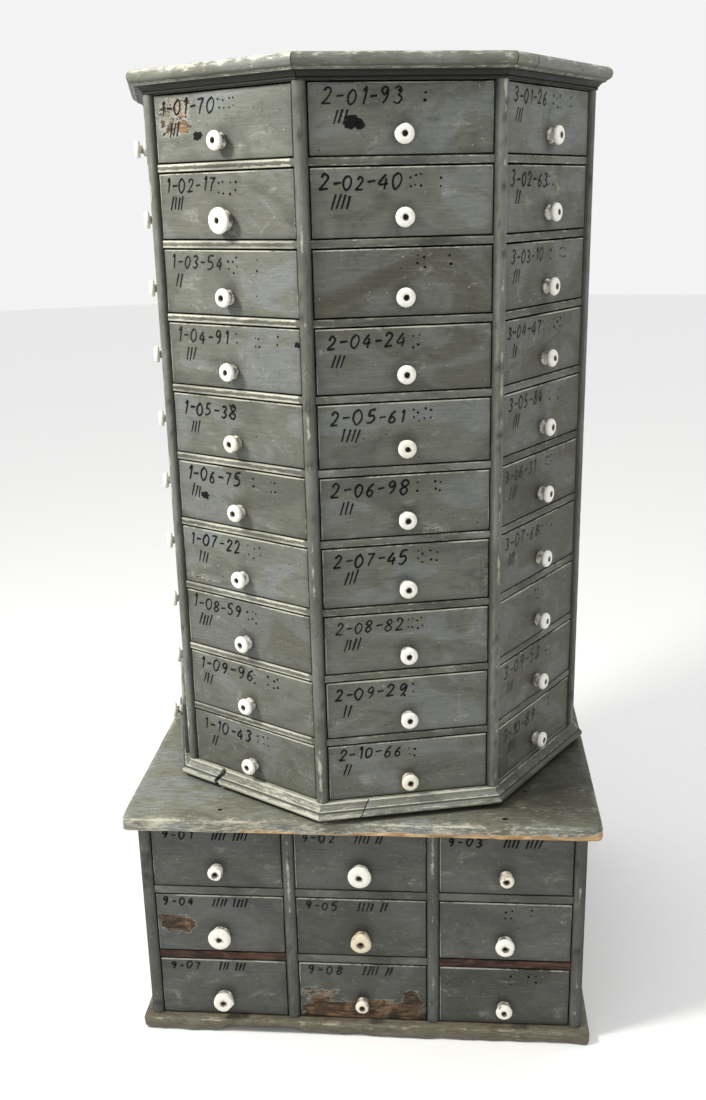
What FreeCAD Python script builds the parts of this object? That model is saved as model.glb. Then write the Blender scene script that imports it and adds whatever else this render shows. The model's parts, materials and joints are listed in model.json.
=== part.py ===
"""Revolving hardware cabinet: an octagonal turret of wedge-shaped drawers that turns
on a low rectangular base with three rows of drawers.

Millimetres, +Z up.  The origin is on the floor, on the turret's turning axis, and the
base faces -Y.  Every part is built facing -Y and then turned about Z to its place.
"""
import FreeCAD, Part

import math
import os
from FreeCAD import Vector

# ---- base: a box of drawers between two boards ------------------------------------
BASE_WIDTH = 585.0
BASE_DEPTH = 560.0
BASE_COLUMNS = 3
BASE_ROWS = 3
BASE_OPENING_HEIGHT = 89.5
BASE_RAIL_HEIGHT = 10.9
STILE_WIDTH = 15.4
BOTTOM_BOARD_THICKNESS = 21.0
BOTTOM_BOARD_OVERHANG = 12.0
BOTTOM_BOARD_ROUNDING = 7.0
TOP_BOARD_THICKNESS = 22.0
TOP_BOARD_OVERHANG = 17.5
TOP_BOARD_ROUNDING = 9.0
BOARD_CORNER_RADIUS = 9.0
BACK_PANEL_THICKNESS = 10.0
RAIL_DEPTH = 40.0
BEAD_DEPTH = 12.0
BASE_BEAD_PROJECTION = 3.0

# ---- turret: eight faces of ten drawers -------------------------------------------
FACES = 8
ROWS = 10
FACE_WIDTH = 225.0
TURRET_TURN = 13.6
ROW_OPENING_HEIGHT = 77.8
SHELF_THICKNESS = 8.8
DIVIDER_THICKNESS = 8.0
STILE_HALF_WIDTH = 8.57
BEAD_PROJECTION = 4.9
FLOOR_THICKNESS = 17.0
CARCASE_TOP_THICKNESS = 12.0
ROOF_THICKNESS = 14.5
ROOF_EDGE_INSET = 22.0
ROOF_NOSE_RADIUS = 7.9
ROOF_NOSE_CENTRE = 15.3
CENTRE_POST_APOTHEM = 32.0
SHELF_INNER_RADIUS = 46.0

# ---- drawers ------------------------------------------------------------------------
DRAWER_GAP_SIDE = 1.4
DRAWER_GAP_TOP = 2.0
DRAWER_GAP_BOTTOM = 0.5
FRONT_GAP_BOTTOM = 1.7
TURRET_DRAWER_DEPTH = 200.0
TURRET_FRONT_THICKNESS = 11.0
TURRET_BOARD_THICKNESS = 7.0
BASE_DRAWER_DEPTH = 500.0
BASE_FRONT_THICKNESS = 14.0
BASE_BOARD_THICKNESS = 9.0
DRAWER_BOTTOM_THICKNESS = 5.0
WALL_DROP = 6.0
SIDE_CLEARANCE = 1.2
TURRET_KNOB_HEIGHT = 22.5
BASE_KNOB_HEIGHT = 29.0

# ---- porcelain knobs, each held by one screw ------------------------------------------
KNOB_RADIUS = 11.0
KNOB_PROJECTION = 16.0
KNOB_RECESS_RADIUS = 2.9
KNOB_RECESS_DEPTH = 5.0
KNOB_BORE_RADIUS = 2.0
SCREW_RADIUS = 1.8
SCREW_HEAD_RADIUS = 2.7
SCREW_HEAD_HEIGHT = 1.6
SCREW_IN_WOOD = 8.0
LARGE_KNOB_RADIUS = 15.0
BASE_KNOB_RADII = (
    (10.5, 15.5, 10.0),
    (15.5, 14.5, 13.0),
    (14.5, 9.5, 11.0),
)

# ---- swivel between base and turret ----------------------------------------------------
SWIVEL_HEIGHT = 8.0
SWIVEL_PLATE_SIZE = 150.0
SWIVEL_PLATE_THICKNESS = 2.0
RACE_RADIUS = 56.0
RACE_LIP_OFFSET = 4.0
RACE_LIP_WIDTH = 1.6
RACE_LIP_HEIGHT = 1.4
BALL_RADIUS = 1.9
BALL_COUNT = 16
CAGE_HALF_WIDTH = 3.2
CAGE_THICKNESS = 0.8
CAGE_HOLE_CLEARANCE = 0.15
PIVOT_RADIUS = 6.0
PIVOT_CLEARANCE = 0.3
PIVOT_HEAD_RADIUS = 9.0
PLATE_SCREW_OFFSET = 64.0
PLATE_SCREW_LENGTH = 12.0

# ---- sizes that follow ---------------------------------------------------------------
HALF_FACE_ANGLE = math.radians(180.0 / FACES)
APOTHEM = FACE_WIDTH / 2 / math.tan(HALF_FACE_ANGLE)
VERTEX_RADIUS = APOTHEM / math.cos(HALF_FACE_ANGLE)
FACE_STEP = 360.0 / FACES

BASE_FRONT = -BASE_DEPTH / 2
BASE_TOP_UNDERSIDE = (
    BOTTOM_BOARD_THICKNESS
    + BASE_ROWS * BASE_OPENING_HEIGHT
    + (BASE_ROWS - 1) * BASE_RAIL_HEIGHT
)
BASE_TOP = BASE_TOP_UNDERSIDE + TOP_BOARD_THICKNESS
BASE_OPENING_WIDTH = (BASE_WIDTH - (BASE_COLUMNS + 1) * STILE_WIDTH) / BASE_COLUMNS
BASE_INSIDE_BACK = BASE_DEPTH / 2 - BACK_PANEL_THICKNESS

TURRET_UNDERSIDE = BASE_TOP + SWIVEL_HEIGHT
TURRET_FLOOR = TURRET_UNDERSIDE + FLOOR_THICKNESS
ROW_PITCH = ROW_OPENING_HEIGHT + SHELF_THICKNESS
TURRET_CEILING = TURRET_FLOOR + ROWS * ROW_PITCH - SHELF_THICKNESS
ROOF_UNDERSIDE = TURRET_CEILING + CARCASE_TOP_THICKNESS
ROOF_TOP = ROOF_UNDERSIDE + ROOF_THICKNESS

# The side of a turret opening runs square to the face as far as the back of the
# corner post, then follows the radial divider.
OPENING_HALF_WIDTH = FACE_WIDTH / 2 - STILE_HALF_WIDTH
POST_DEPTH = (
    STILE_HALF_WIDTH * math.cos(HALF_FACE_ANGLE) - DIVIDER_THICKNESS / 2
) / math.sin(HALF_FACE_ANGLE)


def box(x0, x1, y0, y1, z0, z1):
    """A block given by its lowest and highest corners."""
    return Part.makeBox(x1 - x0, y1 - y0, z1 - z0, Vector(x0, y0, z0))


def prism(outline, z0, z1):
    """A flat outline of (x, y) points raised from z0 to z1."""
    points = [Vector(x, y, z0) for x, y in outline]
    face = Part.Face(Part.makePolygon(points + points[:1]))
    return face.extrude(Vector(0, 0, z1 - z0))


def cylinder(radius, z0, z1, x=0.0, y=0.0):
    return Part.makeCylinder(radius, z1 - z0, Vector(x, y, z0))


def line(start, end):
    return Part.LineSegment(start, end).toShape()


def arc(start, middle, end):
    return Part.Arc(start, middle, end).toShape()


def turned(shape, degrees):
    """A copy turned about the cabinet's axis."""
    copy = shape.copy()
    copy.rotate(Vector(0, 0, 0), Vector(0, 0, 1), degrees)
    return copy


def moved(shape, x=0.0, y=0.0, z=0.0):
    copy = shape.copy()
    copy.translate(Vector(x, y, z))
    return copy


def octagon(apothem, turn=0.0):
    """The corners of a regular octagon with one flat facing -Y, before its turn."""
    radius = apothem / math.cos(HALF_FACE_ANGLE)
    angles = [math.radians(turn - 90 + FACE_STEP * (k + 0.5)) for k in range(FACES)]
    return [(radius * math.cos(a), radius * math.sin(a)) for a in angles]


def around(shape, turn=TURRET_TURN, count=FACES):
    """One copy of a shape for each face of the turret."""
    return [turned(shape, turn + 360.0 / count * k) for k in range(count)]


def save(name, solids):
    """Write one sub-part, one solid or a group of separate solids."""
    shape = solids[0] if len(solids) == 1 else Part.makeCompound(solids)
    assert all(solid.isValid() for solid in shape.Solids), name
    shape.exportStep(os.path.join("parts", name + ".step"))


# ---- knobs and drawers ------------------------------------------------------------------

def knob(radius):
    """A spool-shaped porcelain knob on the plane y = 0, standing out towards -Y."""
    scale = radius / KNOB_RADIUS
    flange, waist, shoulder = 8.0 * scale, 4.8 * scale, 9.2 * scale
    face_y = -KNOB_PROJECTION
    recess_y = face_y + KNOB_RECESS_DEPTH
    edges = [
        line(Vector(KNOB_BORE_RADIUS, 0, 0), Vector(flange, 0, 0)),
        arc(Vector(flange, 0, 0), Vector(flange + 0.9, -2.1, 0), Vector(flange, -4.2, 0)),
        arc(Vector(flange, -4.2, 0), Vector(waist, -6.6, 0), Vector(shoulder, -9.0, 0)),
        arc(Vector(shoulder, -9.0, 0), Vector(radius, -12.2, 0), Vector(shoulder, -15.2, 0)),
        line(Vector(shoulder, -15.2, 0), Vector(shoulder - 3.0, face_y, 0)),
        line(Vector(shoulder - 3.0, face_y, 0), Vector(KNOB_RECESS_RADIUS, face_y, 0)),
        line(Vector(KNOB_RECESS_RADIUS, face_y, 0), Vector(KNOB_RECESS_RADIUS, recess_y, 0)),
        line(Vector(KNOB_RECESS_RADIUS, recess_y, 0), Vector(KNOB_BORE_RADIUS, recess_y, 0)),
        line(Vector(KNOB_BORE_RADIUS, recess_y, 0), Vector(KNOB_BORE_RADIUS, 0, 0)),
    ]
    face = Part.Face(Part.Wire(edges))
    return face.revolve(Vector(0, 0, 0), Vector(0, 1, 0), 360)


def knob_screw():
    """The screw through a knob on y = 0: its head in the recess, its point in the wood."""
    head_y = -KNOB_PROJECTION + KNOB_RECESS_DEPTH
    forward = Vector(0, -1, 0)
    shank = Part.makeCylinder(
        SCREW_RADIUS, SCREW_IN_WOOD - head_y, Vector(0, SCREW_IN_WOOD, 0), forward
    )
    head = Part.makeCylinder(
        SCREW_HEAD_RADIUS, SCREW_HEAD_HEIGHT, Vector(0, head_y, 0), forward
    )
    return shank.fuse(head)


def fit_knob(front_board, radius, x, y, z):
    """Drill a drawer's front board and return it with its knob and screw."""
    screw = moved(knob_screw(), x, y, z)
    return [front_board.cut(screw), moved(knob(radius), x, y, z), screw]


def bay_half_width(depth):
    """Half the width of a turret bay, at a depth behind the face."""
    behind_post = max(0.0, depth - POST_DEPTH)
    return OPENING_HALF_WIDTH - behind_post * math.tan(HALF_FACE_ANGLE)


def drawer_half_width(depth):
    return bay_half_width(depth) - SIDE_CLEARANCE / math.cos(HALF_FACE_ANGLE)


def turret_drawer(opening_bottom, knob_radius=KNOB_RADIUS):
    """A wedge-shaped drawer for one bay of the turret, facing -Y, as separate boards."""
    low = opening_bottom + DRAWER_GAP_BOTTOM
    high = opening_bottom + ROW_OPENING_HEIGHT - DRAWER_GAP_TOP
    wall_top = high - WALL_DROP
    floor_top = low + DRAWER_BOTTOM_THICKNESS
    front_half = OPENING_HALF_WIDTH - DRAWER_GAP_SIDE
    back = TURRET_DRAWER_DEPTH
    inner_back = back - TURRET_BOARD_THICKNESS
    wall = TURRET_BOARD_THICKNESS / math.cos(HALF_FACE_ANGLE)
    near = TURRET_FRONT_THICKNESS
    near_half = drawer_half_width(near)
    far_half = drawer_half_width(back)
    inner_half = drawer_half_width(inner_back)

    front_low = opening_bottom + FRONT_GAP_BOTTOM
    front = box(-front_half, front_half, -APOTHEM, -APOTHEM + near, front_low, high)
    bottom_outline = [
        (-near_half, -APOTHEM + near),
        (near_half, -APOTHEM + near),
        (far_half, -APOTHEM + back),
        (-far_half, -APOTHEM + back),
    ]
    side_outline = [
        (near_half, -APOTHEM + near),
        (near_half - wall, -APOTHEM + near),
        (far_half - wall, -APOTHEM + back),
        (far_half, -APOTHEM + back),
    ]
    back_outline = [
        (-inner_half + wall, -APOTHEM + inner_back),
        (inner_half - wall, -APOTHEM + inner_back),
        (far_half - wall, -APOTHEM + back),
        (-far_half + wall, -APOTHEM + back),
    ]
    mirrored = [(-x, y) for x, y in side_outline]
    knob_z = opening_bottom + TURRET_KNOB_HEIGHT
    return fit_knob(front, knob_radius, 0.0, -APOTHEM, knob_z) + [
        prism(bottom_outline, low, floor_top),
        prism(side_outline, floor_top, wall_top),
        prism(mirrored, floor_top, wall_top),
        prism(back_outline, floor_top, wall_top),
    ]


def base_drawer(centre_x, opening_bottom, knob_radius):
    """A straight drawer for the base, facing -Y, as separate boards."""
    low = opening_bottom + DRAWER_GAP_BOTTOM
    high = opening_bottom + BASE_OPENING_HEIGHT - DRAWER_GAP_TOP
    wall_top = high - WALL_DROP
    floor_top = low + DRAWER_BOTTOM_THICKNESS
    front_half = BASE_OPENING_WIDTH / 2 - DRAWER_GAP_SIDE
    outside = BASE_OPENING_WIDTH / 2 - SIDE_CLEARANCE
    inside = outside - BASE_BOARD_THICKNESS
    near = BASE_FRONT + BASE_FRONT_THICKNESS
    back = BASE_FRONT + BASE_DRAWER_DEPTH
    inner_back = back - BASE_BOARD_THICKNESS
    x = centre_x
    front_low = opening_bottom + FRONT_GAP_BOTTOM
    front = box(x - front_half, x + front_half, BASE_FRONT, near, front_low, high)
    knob_z = opening_bottom + BASE_KNOB_HEIGHT
    return fit_knob(front, knob_radius, x, BASE_FRONT, knob_z) + [
        box(x - outside, x + outside, near, back, low, floor_top),
        box(x - outside, x - inside, near, back, floor_top, wall_top),
        box(x + inside, x + outside, near, back, floor_top, wall_top),
        box(x - inside, x + inside, inner_back, back, floor_top, wall_top),
    ]


# ---- base ---------------------------------------------------------------------------------

def base_row_bottom(row):
    """Height of an opening's lower edge; row 0 is the top row."""
    rows_below = BASE_ROWS - 1 - row
    return BOTTOM_BOARD_THICKNESS + rows_below * (BASE_OPENING_HEIGHT + BASE_RAIL_HEIGHT)


def base_column_centre(column):
    return (column - (BASE_COLUMNS - 1) / 2) * (BASE_OPENING_WIDTH + STILE_WIDTH)


def stile_centre(index):
    return (index - BASE_COLUMNS / 2) * (BASE_OPENING_WIDTH + STILE_WIDTH)


def rounded_board(overhang, z0, z1, top_rounding, bottom_rounding):
    """A board over the base's plan with rounded corners and rounded long edges."""
    half_x = BASE_WIDTH / 2 + overhang
    half_y = BASE_DEPTH / 2 + overhang
    board = box(-half_x, half_x, -half_y, half_y, z0, z1)
    upright = [e for e in board.Edges if abs(e.Length - (z1 - z0)) < 0.01]
    board = board.makeFillet(BOARD_CORNER_RADIUS, upright)
    for z, rounding in ((z1, top_rounding), (z0, bottom_rounding)):
        rim = [e for e in board.Edges if all(abs(v.Z - z) < 0.01 for v in e.Vertexes)]
        board = board.makeFillet(rounding, rim)
    return board


def base_case_panels():
    """Two side panels and the back panel between them."""
    side = box(
        -BASE_WIDTH / 2,
        -BASE_WIDTH / 2 + STILE_WIDTH,
        BASE_FRONT + BEAD_DEPTH,
        BASE_DEPTH / 2,
        BOTTOM_BOARD_THICKNESS,
        BASE_TOP_UNDERSIDE,
    )
    back = box(
        -BASE_WIDTH / 2 + STILE_WIDTH,
        BASE_WIDTH / 2 - STILE_WIDTH,
        BASE_INSIDE_BACK,
        BASE_DEPTH / 2,
        BOTTOM_BOARD_THICKNESS,
        BASE_TOP_UNDERSIDE,
    )
    return [side, moved(side, x=BASE_WIDTH - STILE_WIDTH), back]


def base_partitions():
    partitions = []
    for index in range(1, BASE_COLUMNS):
        x = stile_centre(index)
        partitions.append(
            box(
                x - STILE_WIDTH / 2,
                x + STILE_WIDTH / 2,
                BASE_FRONT + BEAD_DEPTH,
                BASE_INSIDE_BACK,
                BOTTOM_BOARD_THICKNESS,
                BASE_TOP_UNDERSIDE,
            )
        )
    return partitions


def base_front_beads():
    """Round-nosed strips on the front edges of the side panels and partitions."""
    half = STILE_WIDTH / 2
    back = BASE_FRONT + BEAD_DEPTH
    nose = BASE_FRONT - BASE_BEAD_PROJECTION
    z0 = BOTTOM_BOARD_THICKNESS
    outline = Part.Wire(
        [
            line(Vector(-half, back, z0), Vector(half, back, z0)),
            line(Vector(half, back, z0), Vector(half, BASE_FRONT, z0)),
            arc(Vector(half, BASE_FRONT, z0), Vector(0, nose, z0), Vector(-half, BASE_FRONT, z0)),
            line(Vector(-half, BASE_FRONT, z0), Vector(-half, back, z0)),
        ]
    )
    bead = Part.Face(outline).extrude(Vector(0, 0, BASE_TOP_UNDERSIDE - z0))
    return [moved(bead, x=stile_centre(index)) for index in range(BASE_COLUMNS + 1)]


def base_levels(y0, y1):
    """One board per column under the top and middle rows, between two depths."""
    boards = []
    for row in range(BASE_ROWS - 1):
        top = base_row_bottom(row)
        for column in range(BASE_COLUMNS):
            x = base_column_centre(column)
            half = BASE_OPENING_WIDTH / 2
            boards.append(box(x - half, x + half, y0, y1, top - BASE_RAIL_HEIGHT, top))
    return boards


# ---- swivel ---------------------------------------------------------------------------------

def ring(inner, outer, z0, z1):
    return cylinder(outer, z0, z1).cut(cylinder(inner, z0 - 1, z1 + 1))


def corner_points():
    offset = PLATE_SCREW_OFFSET
    return [(sx * offset, sy * offset) for sx in (-1, 1) for sy in (-1, 1)]


def swivel_plate(z_wood, facing):
    """A square plate against the wood at z_wood; facing is +1 for the lower plate."""
    half = SWIVEL_PLATE_SIZE / 2
    inner_z = z_wood + facing * SWIVEL_PLATE_THICKNESS
    z0, z1 = sorted((z_wood, inner_z))
    plate = box(-half, half, -half, half, z0, z1)
    lip_z0, lip_z1 = sorted((inner_z, inner_z + facing * RACE_LIP_HEIGHT))
    for radius in (RACE_RADIUS - RACE_LIP_OFFSET, RACE_RADIUS + RACE_LIP_OFFSET):
        lip = ring(radius - RACE_LIP_WIDTH / 2, radius + RACE_LIP_WIDTH / 2, lip_z0, lip_z1)
        plate = plate.fuse(lip)
    for x, y in corner_points():
        plate = plate.cut(cylinder(SCREW_RADIUS, z0 - 1, z1 + 1, x, y))
    return plate.cut(cylinder(PIVOT_RADIUS + PIVOT_CLEARANCE, z0 - 1, z1 + 1))


def plate_screws(z_wood, facing):
    """Four screws through a swivel plate into the wood behind it."""
    screws = []
    head_z = z_wood + facing * SWIVEL_PLATE_THICKNESS
    head = sorted((head_z, head_z + facing * RACE_LIP_HEIGHT))
    shank = sorted((head_z, z_wood - facing * PLATE_SCREW_LENGTH))
    for x, y in corner_points():
        screw_head = cylinder(2 * SCREW_RADIUS, head[0], head[1], x, y)
        screws.append(screw_head.fuse(cylinder(SCREW_RADIUS, shank[0], shank[1], x, y)))
    return screws


def swivel_pivot():
    """The centre pin, fixed in the base's top board and free in the upper plate."""
    head_top = BASE_TOP + SWIVEL_PLATE_THICKNESS + RACE_LIP_HEIGHT
    pin = cylinder(PIVOT_RADIUS, BASE_TOP - PLATE_SCREW_LENGTH, TURRET_UNDERSIDE - 0.3)
    collar = cylinder(PIVOT_HEAD_RADIUS, BASE_TOP + SWIVEL_PLATE_THICKNESS, head_top)
    return pin.fuse(collar)


def ball_ring():
    """The flat cage and its balls, rolling between the two plates."""
    mid = BASE_TOP + SWIVEL_HEIGHT / 2
    cage = ring(
        RACE_RADIUS - CAGE_HALF_WIDTH,
        RACE_RADIUS + CAGE_HALF_WIDTH,
        mid - CAGE_THICKNESS / 2,
        mid + CAGE_THICKNESS / 2,
    )
    balls = []
    for k in range(BALL_COUNT):
        a = 2 * math.pi * k / BALL_COUNT
        centre = Vector(RACE_RADIUS * math.cos(a), RACE_RADIUS * math.sin(a), mid)
        balls.append(Part.makeSphere(BALL_RADIUS, centre))
        cage = cage.cut(Part.makeSphere(BALL_RADIUS + CAGE_HOLE_CLEARANCE, centre))
    return [cage] + balls


# ---- turret ---------------------------------------------------------------------------------

def mitred(profile):
    """Eight mitred lengths of a moulding from its profile of edges in the YZ plane."""
    length = 2 * FACE_WIDTH
    face = Part.Face(Part.Wire(profile))
    bar = face.extrude(Vector(length, 0, 0))
    bar.translate(Vector(-length / 2, 0, 0))
    reach = 2 * APOTHEM
    spread = reach * math.tan(HALF_FACE_ANGLE)
    z0, z1 = bar.BoundBox.ZMin - 1, bar.BoundBox.ZMax + 1
    sector = prism([(0, 0), (-spread, -reach), (spread, -reach)], z0, z1)
    return around(bar.common(sector))


def section(out, z):
    """A point of a moulding's profile, standing out from the turret's faces."""
    return Vector(0, -APOTHEM - out, z)


def foot_moulding():
    """Cove, fillet and bullnose around the turret's floor board."""
    top = TURRET_FLOOR
    low = TURRET_UNDERSIDE - 2.3
    return mitred(
        [
            line(section(0, top), section(5.5, top)),
            arc(section(5.5, top), section(7.5, top - 5.2), section(11.5, top - 8.2)),
            line(section(11.5, top - 8.2), section(13, top - 9.0)),
            arc(section(13, top - 9.0), section(17, top - 14), section(14.5, low)),
            line(section(14.5, low), section(0, low)),
            line(section(0, low), section(0, top)),
        ]
    )


def cornice_bed_moulding():
    """Astragal, cove and fillet under the roof's edge."""
    low = TURRET_CEILING
    top = ROOF_UNDERSIDE
    return mitred(
        [
            line(section(0, low), section(5.5, low)),
            arc(section(5.5, low), section(6.8, low + 1.5), section(6.0, low + 3.0)),
            line(section(6.0, low + 3.0), section(7.5, low + 3.7)),
            arc(section(7.5, low + 3.7), section(10.5, low + 7.3), section(15.5, low + 9.0)),
            line(section(15.5, low + 9.0), section(15.5, low + 10.4)),
            line(section(15.5, low + 10.4), section(18.5, top)),
            line(section(18.5, top), section(0, top)),
            line(section(0, top), section(0, low)),
        ]
    )


def cornice_edge_moulding():
    """The round-nosed edge around the roof board."""
    low = ROOF_UNDERSIDE
    top = ROOF_TOP
    inner = -ROOF_EDGE_INSET
    centre, radius = ROOF_NOSE_CENTRE, ROOF_NOSE_RADIUS
    centre_z = top - radius
    heel = centre + math.sqrt(radius**2 - (centre_z - low) ** 2)
    return mitred(
        [
            line(section(inner, low), section(heel, low)),
            arc(section(heel, low), section(centre + radius, centre_z), section(centre, top)),
            line(section(centre, top), section(inner, top)),
            line(section(inner, top), section(inner, low)),
        ]
    )


def corner_posts():
    """Eight corner posts with a half-round bead standing out at each corner."""
    side_x = STILE_HALF_WIDTH * math.cos(HALF_FACE_ANGLE)
    side_y = -VERTEX_RADIUS + STILE_HALF_WIDTH * math.sin(HALF_FACE_ANGLE)
    nose_y = -VERTEX_RADIUS - BEAD_PROJECTION
    back_x = DIVIDER_THICKNESS / 2
    back_y = side_y + POST_DEPTH * math.cos(HALF_FACE_ANGLE)
    z0 = TURRET_FLOOR
    outline = Part.Wire(
        [
            arc(Vector(-side_x, side_y, z0), Vector(0, nose_y, z0), Vector(side_x, side_y, z0)),
            line(Vector(side_x, side_y, z0), Vector(back_x, back_y, z0)),
            line(Vector(back_x, back_y, z0), Vector(-back_x, back_y, z0)),
            line(Vector(-back_x, back_y, z0), Vector(-side_x, side_y, z0)),
        ]
    )
    post = Part.Face(outline).extrude(Vector(0, 0, TURRET_CEILING - z0))
    return around(post, TURRET_TURN + FACE_STEP / 2)


def dividers():
    """Eight radial boards from the centre post to the corner posts."""
    half = DIVIDER_THICKNESS / 2
    front = -VERTEX_RADIUS + STILE_HALF_WIDTH * math.sin(HALF_FACE_ANGLE)
    front += POST_DEPTH * math.cos(HALF_FACE_ANGLE)
    board = box(-half, half, front, -CENTRE_POST_APOTHEM, TURRET_FLOOR, TURRET_CEILING)
    return around(board, TURRET_TURN + FACE_STEP / 2)


def row_bottom(row):
    """Height of a turret opening's lower edge; row 0 is the top row."""
    return TURRET_FLOOR + (ROWS - 1 - row) * ROW_PITCH


def shelves():
    """A shelf under every row but the lowest, in eight sections between dividers."""
    inner_depth = APOTHEM - SHELF_INNER_RADIUS
    inner_half = bay_half_width(inner_depth)
    outline = [
        (-OPENING_HALF_WIDTH, -APOTHEM),
        (OPENING_HALF_WIDTH, -APOTHEM),
        (OPENING_HALF_WIDTH, -APOTHEM + POST_DEPTH),
        (inner_half, -SHELF_INNER_RADIUS),
        (-inner_half, -SHELF_INNER_RADIUS),
        (-OPENING_HALF_WIDTH, -APOTHEM + POST_DEPTH),
    ]
    sections = []
    for row in range(ROWS - 1):
        top = row_bottom(row)
        sections += around(prism(outline, top - SHELF_THICKNESS, top))
    return sections


def rear_drawers():
    """The drawers of the five rear faces, two of them standing slightly open."""
    first_face = 2
    last_face = FACES - 2
    pulled_out = {(last_face, 0): 6.0, (last_face, ROWS - 1): 11.0}
    pieces = []
    for face in range(first_face, last_face + 1):
        for row in range(ROWS):
            open_by = pulled_out.get((face, row), 0.0)
            for piece in turret_drawer(row_bottom(row)):
                piece = moved(piece, y=-open_by)
                pieces.append(turned(piece, TURRET_TURN + FACE_STEP * face))
    return pieces


def write_base():
    z0 = BOTTOM_BOARD_THICKNESS
    save("base_bottom_board", [
        rounded_board(BOTTOM_BOARD_OVERHANG, 0.0, z0, BOTTOM_BOARD_ROUNDING, 2.0)
    ])
    save("base_top_board", [
        rounded_board(
            TOP_BOARD_OVERHANG,
            BASE_TOP_UNDERSIDE,
            BASE_TOP,
            TOP_BOARD_ROUNDING,
            TOP_BOARD_ROUNDING - 1.0,
        )
    ])
    save("base_case_panels", base_case_panels())
    save("base_partitions", base_partitions())
    save("base_front_beads", base_front_beads())
    save("base_front_rails", base_levels(BASE_FRONT, BASE_FRONT + RAIL_DEPTH))
    save("base_drawer_runners", base_levels(BASE_FRONT + RAIL_DEPTH, BASE_INSIDE_BACK))
    for row in range(BASE_ROWS):
        for column in range(BASE_COLUMNS):
            radius = BASE_KNOB_RADII[row][column]
            x = base_column_centre(column)
            name = f"base_drawer_row{row + 1}_col{column + 1}"
            save(name, base_drawer(x, base_row_bottom(row), radius))


def write_swivel():
    lower = [swivel_plate(BASE_TOP, 1), swivel_pivot()] + plate_screws(BASE_TOP, 1)
    upper = [swivel_plate(TURRET_UNDERSIDE, -1)] + plate_screws(TURRET_UNDERSIDE, -1)
    save("swivel_lower_plate", lower)
    save("swivel_upper_plate", [turned(shape, TURRET_TURN) for shape in upper])
    save("swivel_ball_ring", ball_ring())


def write_turret():
    whole = octagon(APOTHEM, TURRET_TURN)
    inner_roof = octagon(APOTHEM - ROOF_EDGE_INSET, TURRET_TURN)
    post = octagon(CENTRE_POST_APOTHEM, TURRET_TURN + FACE_STEP / 2)
    save("turret_floor", [prism(whole, TURRET_UNDERSIDE, TURRET_FLOOR)])
    save("turret_foot_moulding", foot_moulding())
    save("turret_centre_post", [prism(post, TURRET_FLOOR, TURRET_CEILING)])
    save("turret_dividers", dividers())
    save("turret_shelves", shelves())
    save("turret_corner_posts", corner_posts())
    save("turret_carcase_top", [prism(whole, TURRET_CEILING, ROOF_UNDERSIDE)])
    save("turret_roof_board", [prism(inner_roof, ROOF_UNDERSIDE, ROOF_TOP)])
    save("cornice_bed_moulding", cornice_bed_moulding())
    save("cornice_edge_moulding", cornice_edge_moulding())
    save("turret_rear_drawers", rear_drawers())
    for side, name in ((-1, "left"), (0, "front"), (1, "right")):
        for row in range(ROWS):
            large = name == "left" and row == 1
            radius = LARGE_KNOB_RADIUS if large else KNOB_RADIUS
            drawer = turret_drawer(row_bottom(row), radius)
            turn = TURRET_TURN + side * FACE_STEP
            node = f"turret_drawer_{name}_{row + 1:02d}"
            save(node, [turned(piece, turn) for piece in drawer])


os.makedirs("parts", exist_ok=True)
write_base()
write_swivel()
write_turret()
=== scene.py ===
import cmath
import functools
import itertools
import json
import math
import random

import bmesh
import bpy
from mathutils import Matrix, Vector, noise


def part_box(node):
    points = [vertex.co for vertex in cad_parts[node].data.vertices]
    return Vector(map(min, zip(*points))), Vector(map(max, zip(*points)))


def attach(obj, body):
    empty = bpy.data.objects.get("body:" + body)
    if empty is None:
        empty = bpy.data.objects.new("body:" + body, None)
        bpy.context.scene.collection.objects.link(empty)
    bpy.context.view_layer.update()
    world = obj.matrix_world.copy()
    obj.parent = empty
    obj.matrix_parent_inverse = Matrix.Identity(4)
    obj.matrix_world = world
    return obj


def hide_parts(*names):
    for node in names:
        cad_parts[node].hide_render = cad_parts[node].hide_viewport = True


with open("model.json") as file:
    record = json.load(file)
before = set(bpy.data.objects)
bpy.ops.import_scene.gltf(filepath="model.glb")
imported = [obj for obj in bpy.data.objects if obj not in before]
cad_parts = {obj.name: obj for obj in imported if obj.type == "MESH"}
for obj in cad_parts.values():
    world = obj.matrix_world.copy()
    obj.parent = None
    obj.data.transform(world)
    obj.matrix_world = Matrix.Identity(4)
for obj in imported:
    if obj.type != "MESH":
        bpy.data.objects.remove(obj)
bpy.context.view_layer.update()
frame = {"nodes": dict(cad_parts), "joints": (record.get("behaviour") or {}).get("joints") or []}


# ---- sizes read from the frame, in metres ----

def low(node, axis=2):
    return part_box(node)[0][axis]


def high(node, axis=2):
    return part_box(node)[1][axis]


def facing(body):
    """The turn about Z that takes -Y to the way a drawer slides."""
    axis = SLIDES[body]["axis"]
    return math.atan2(axis[0], -axis[1])


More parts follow.
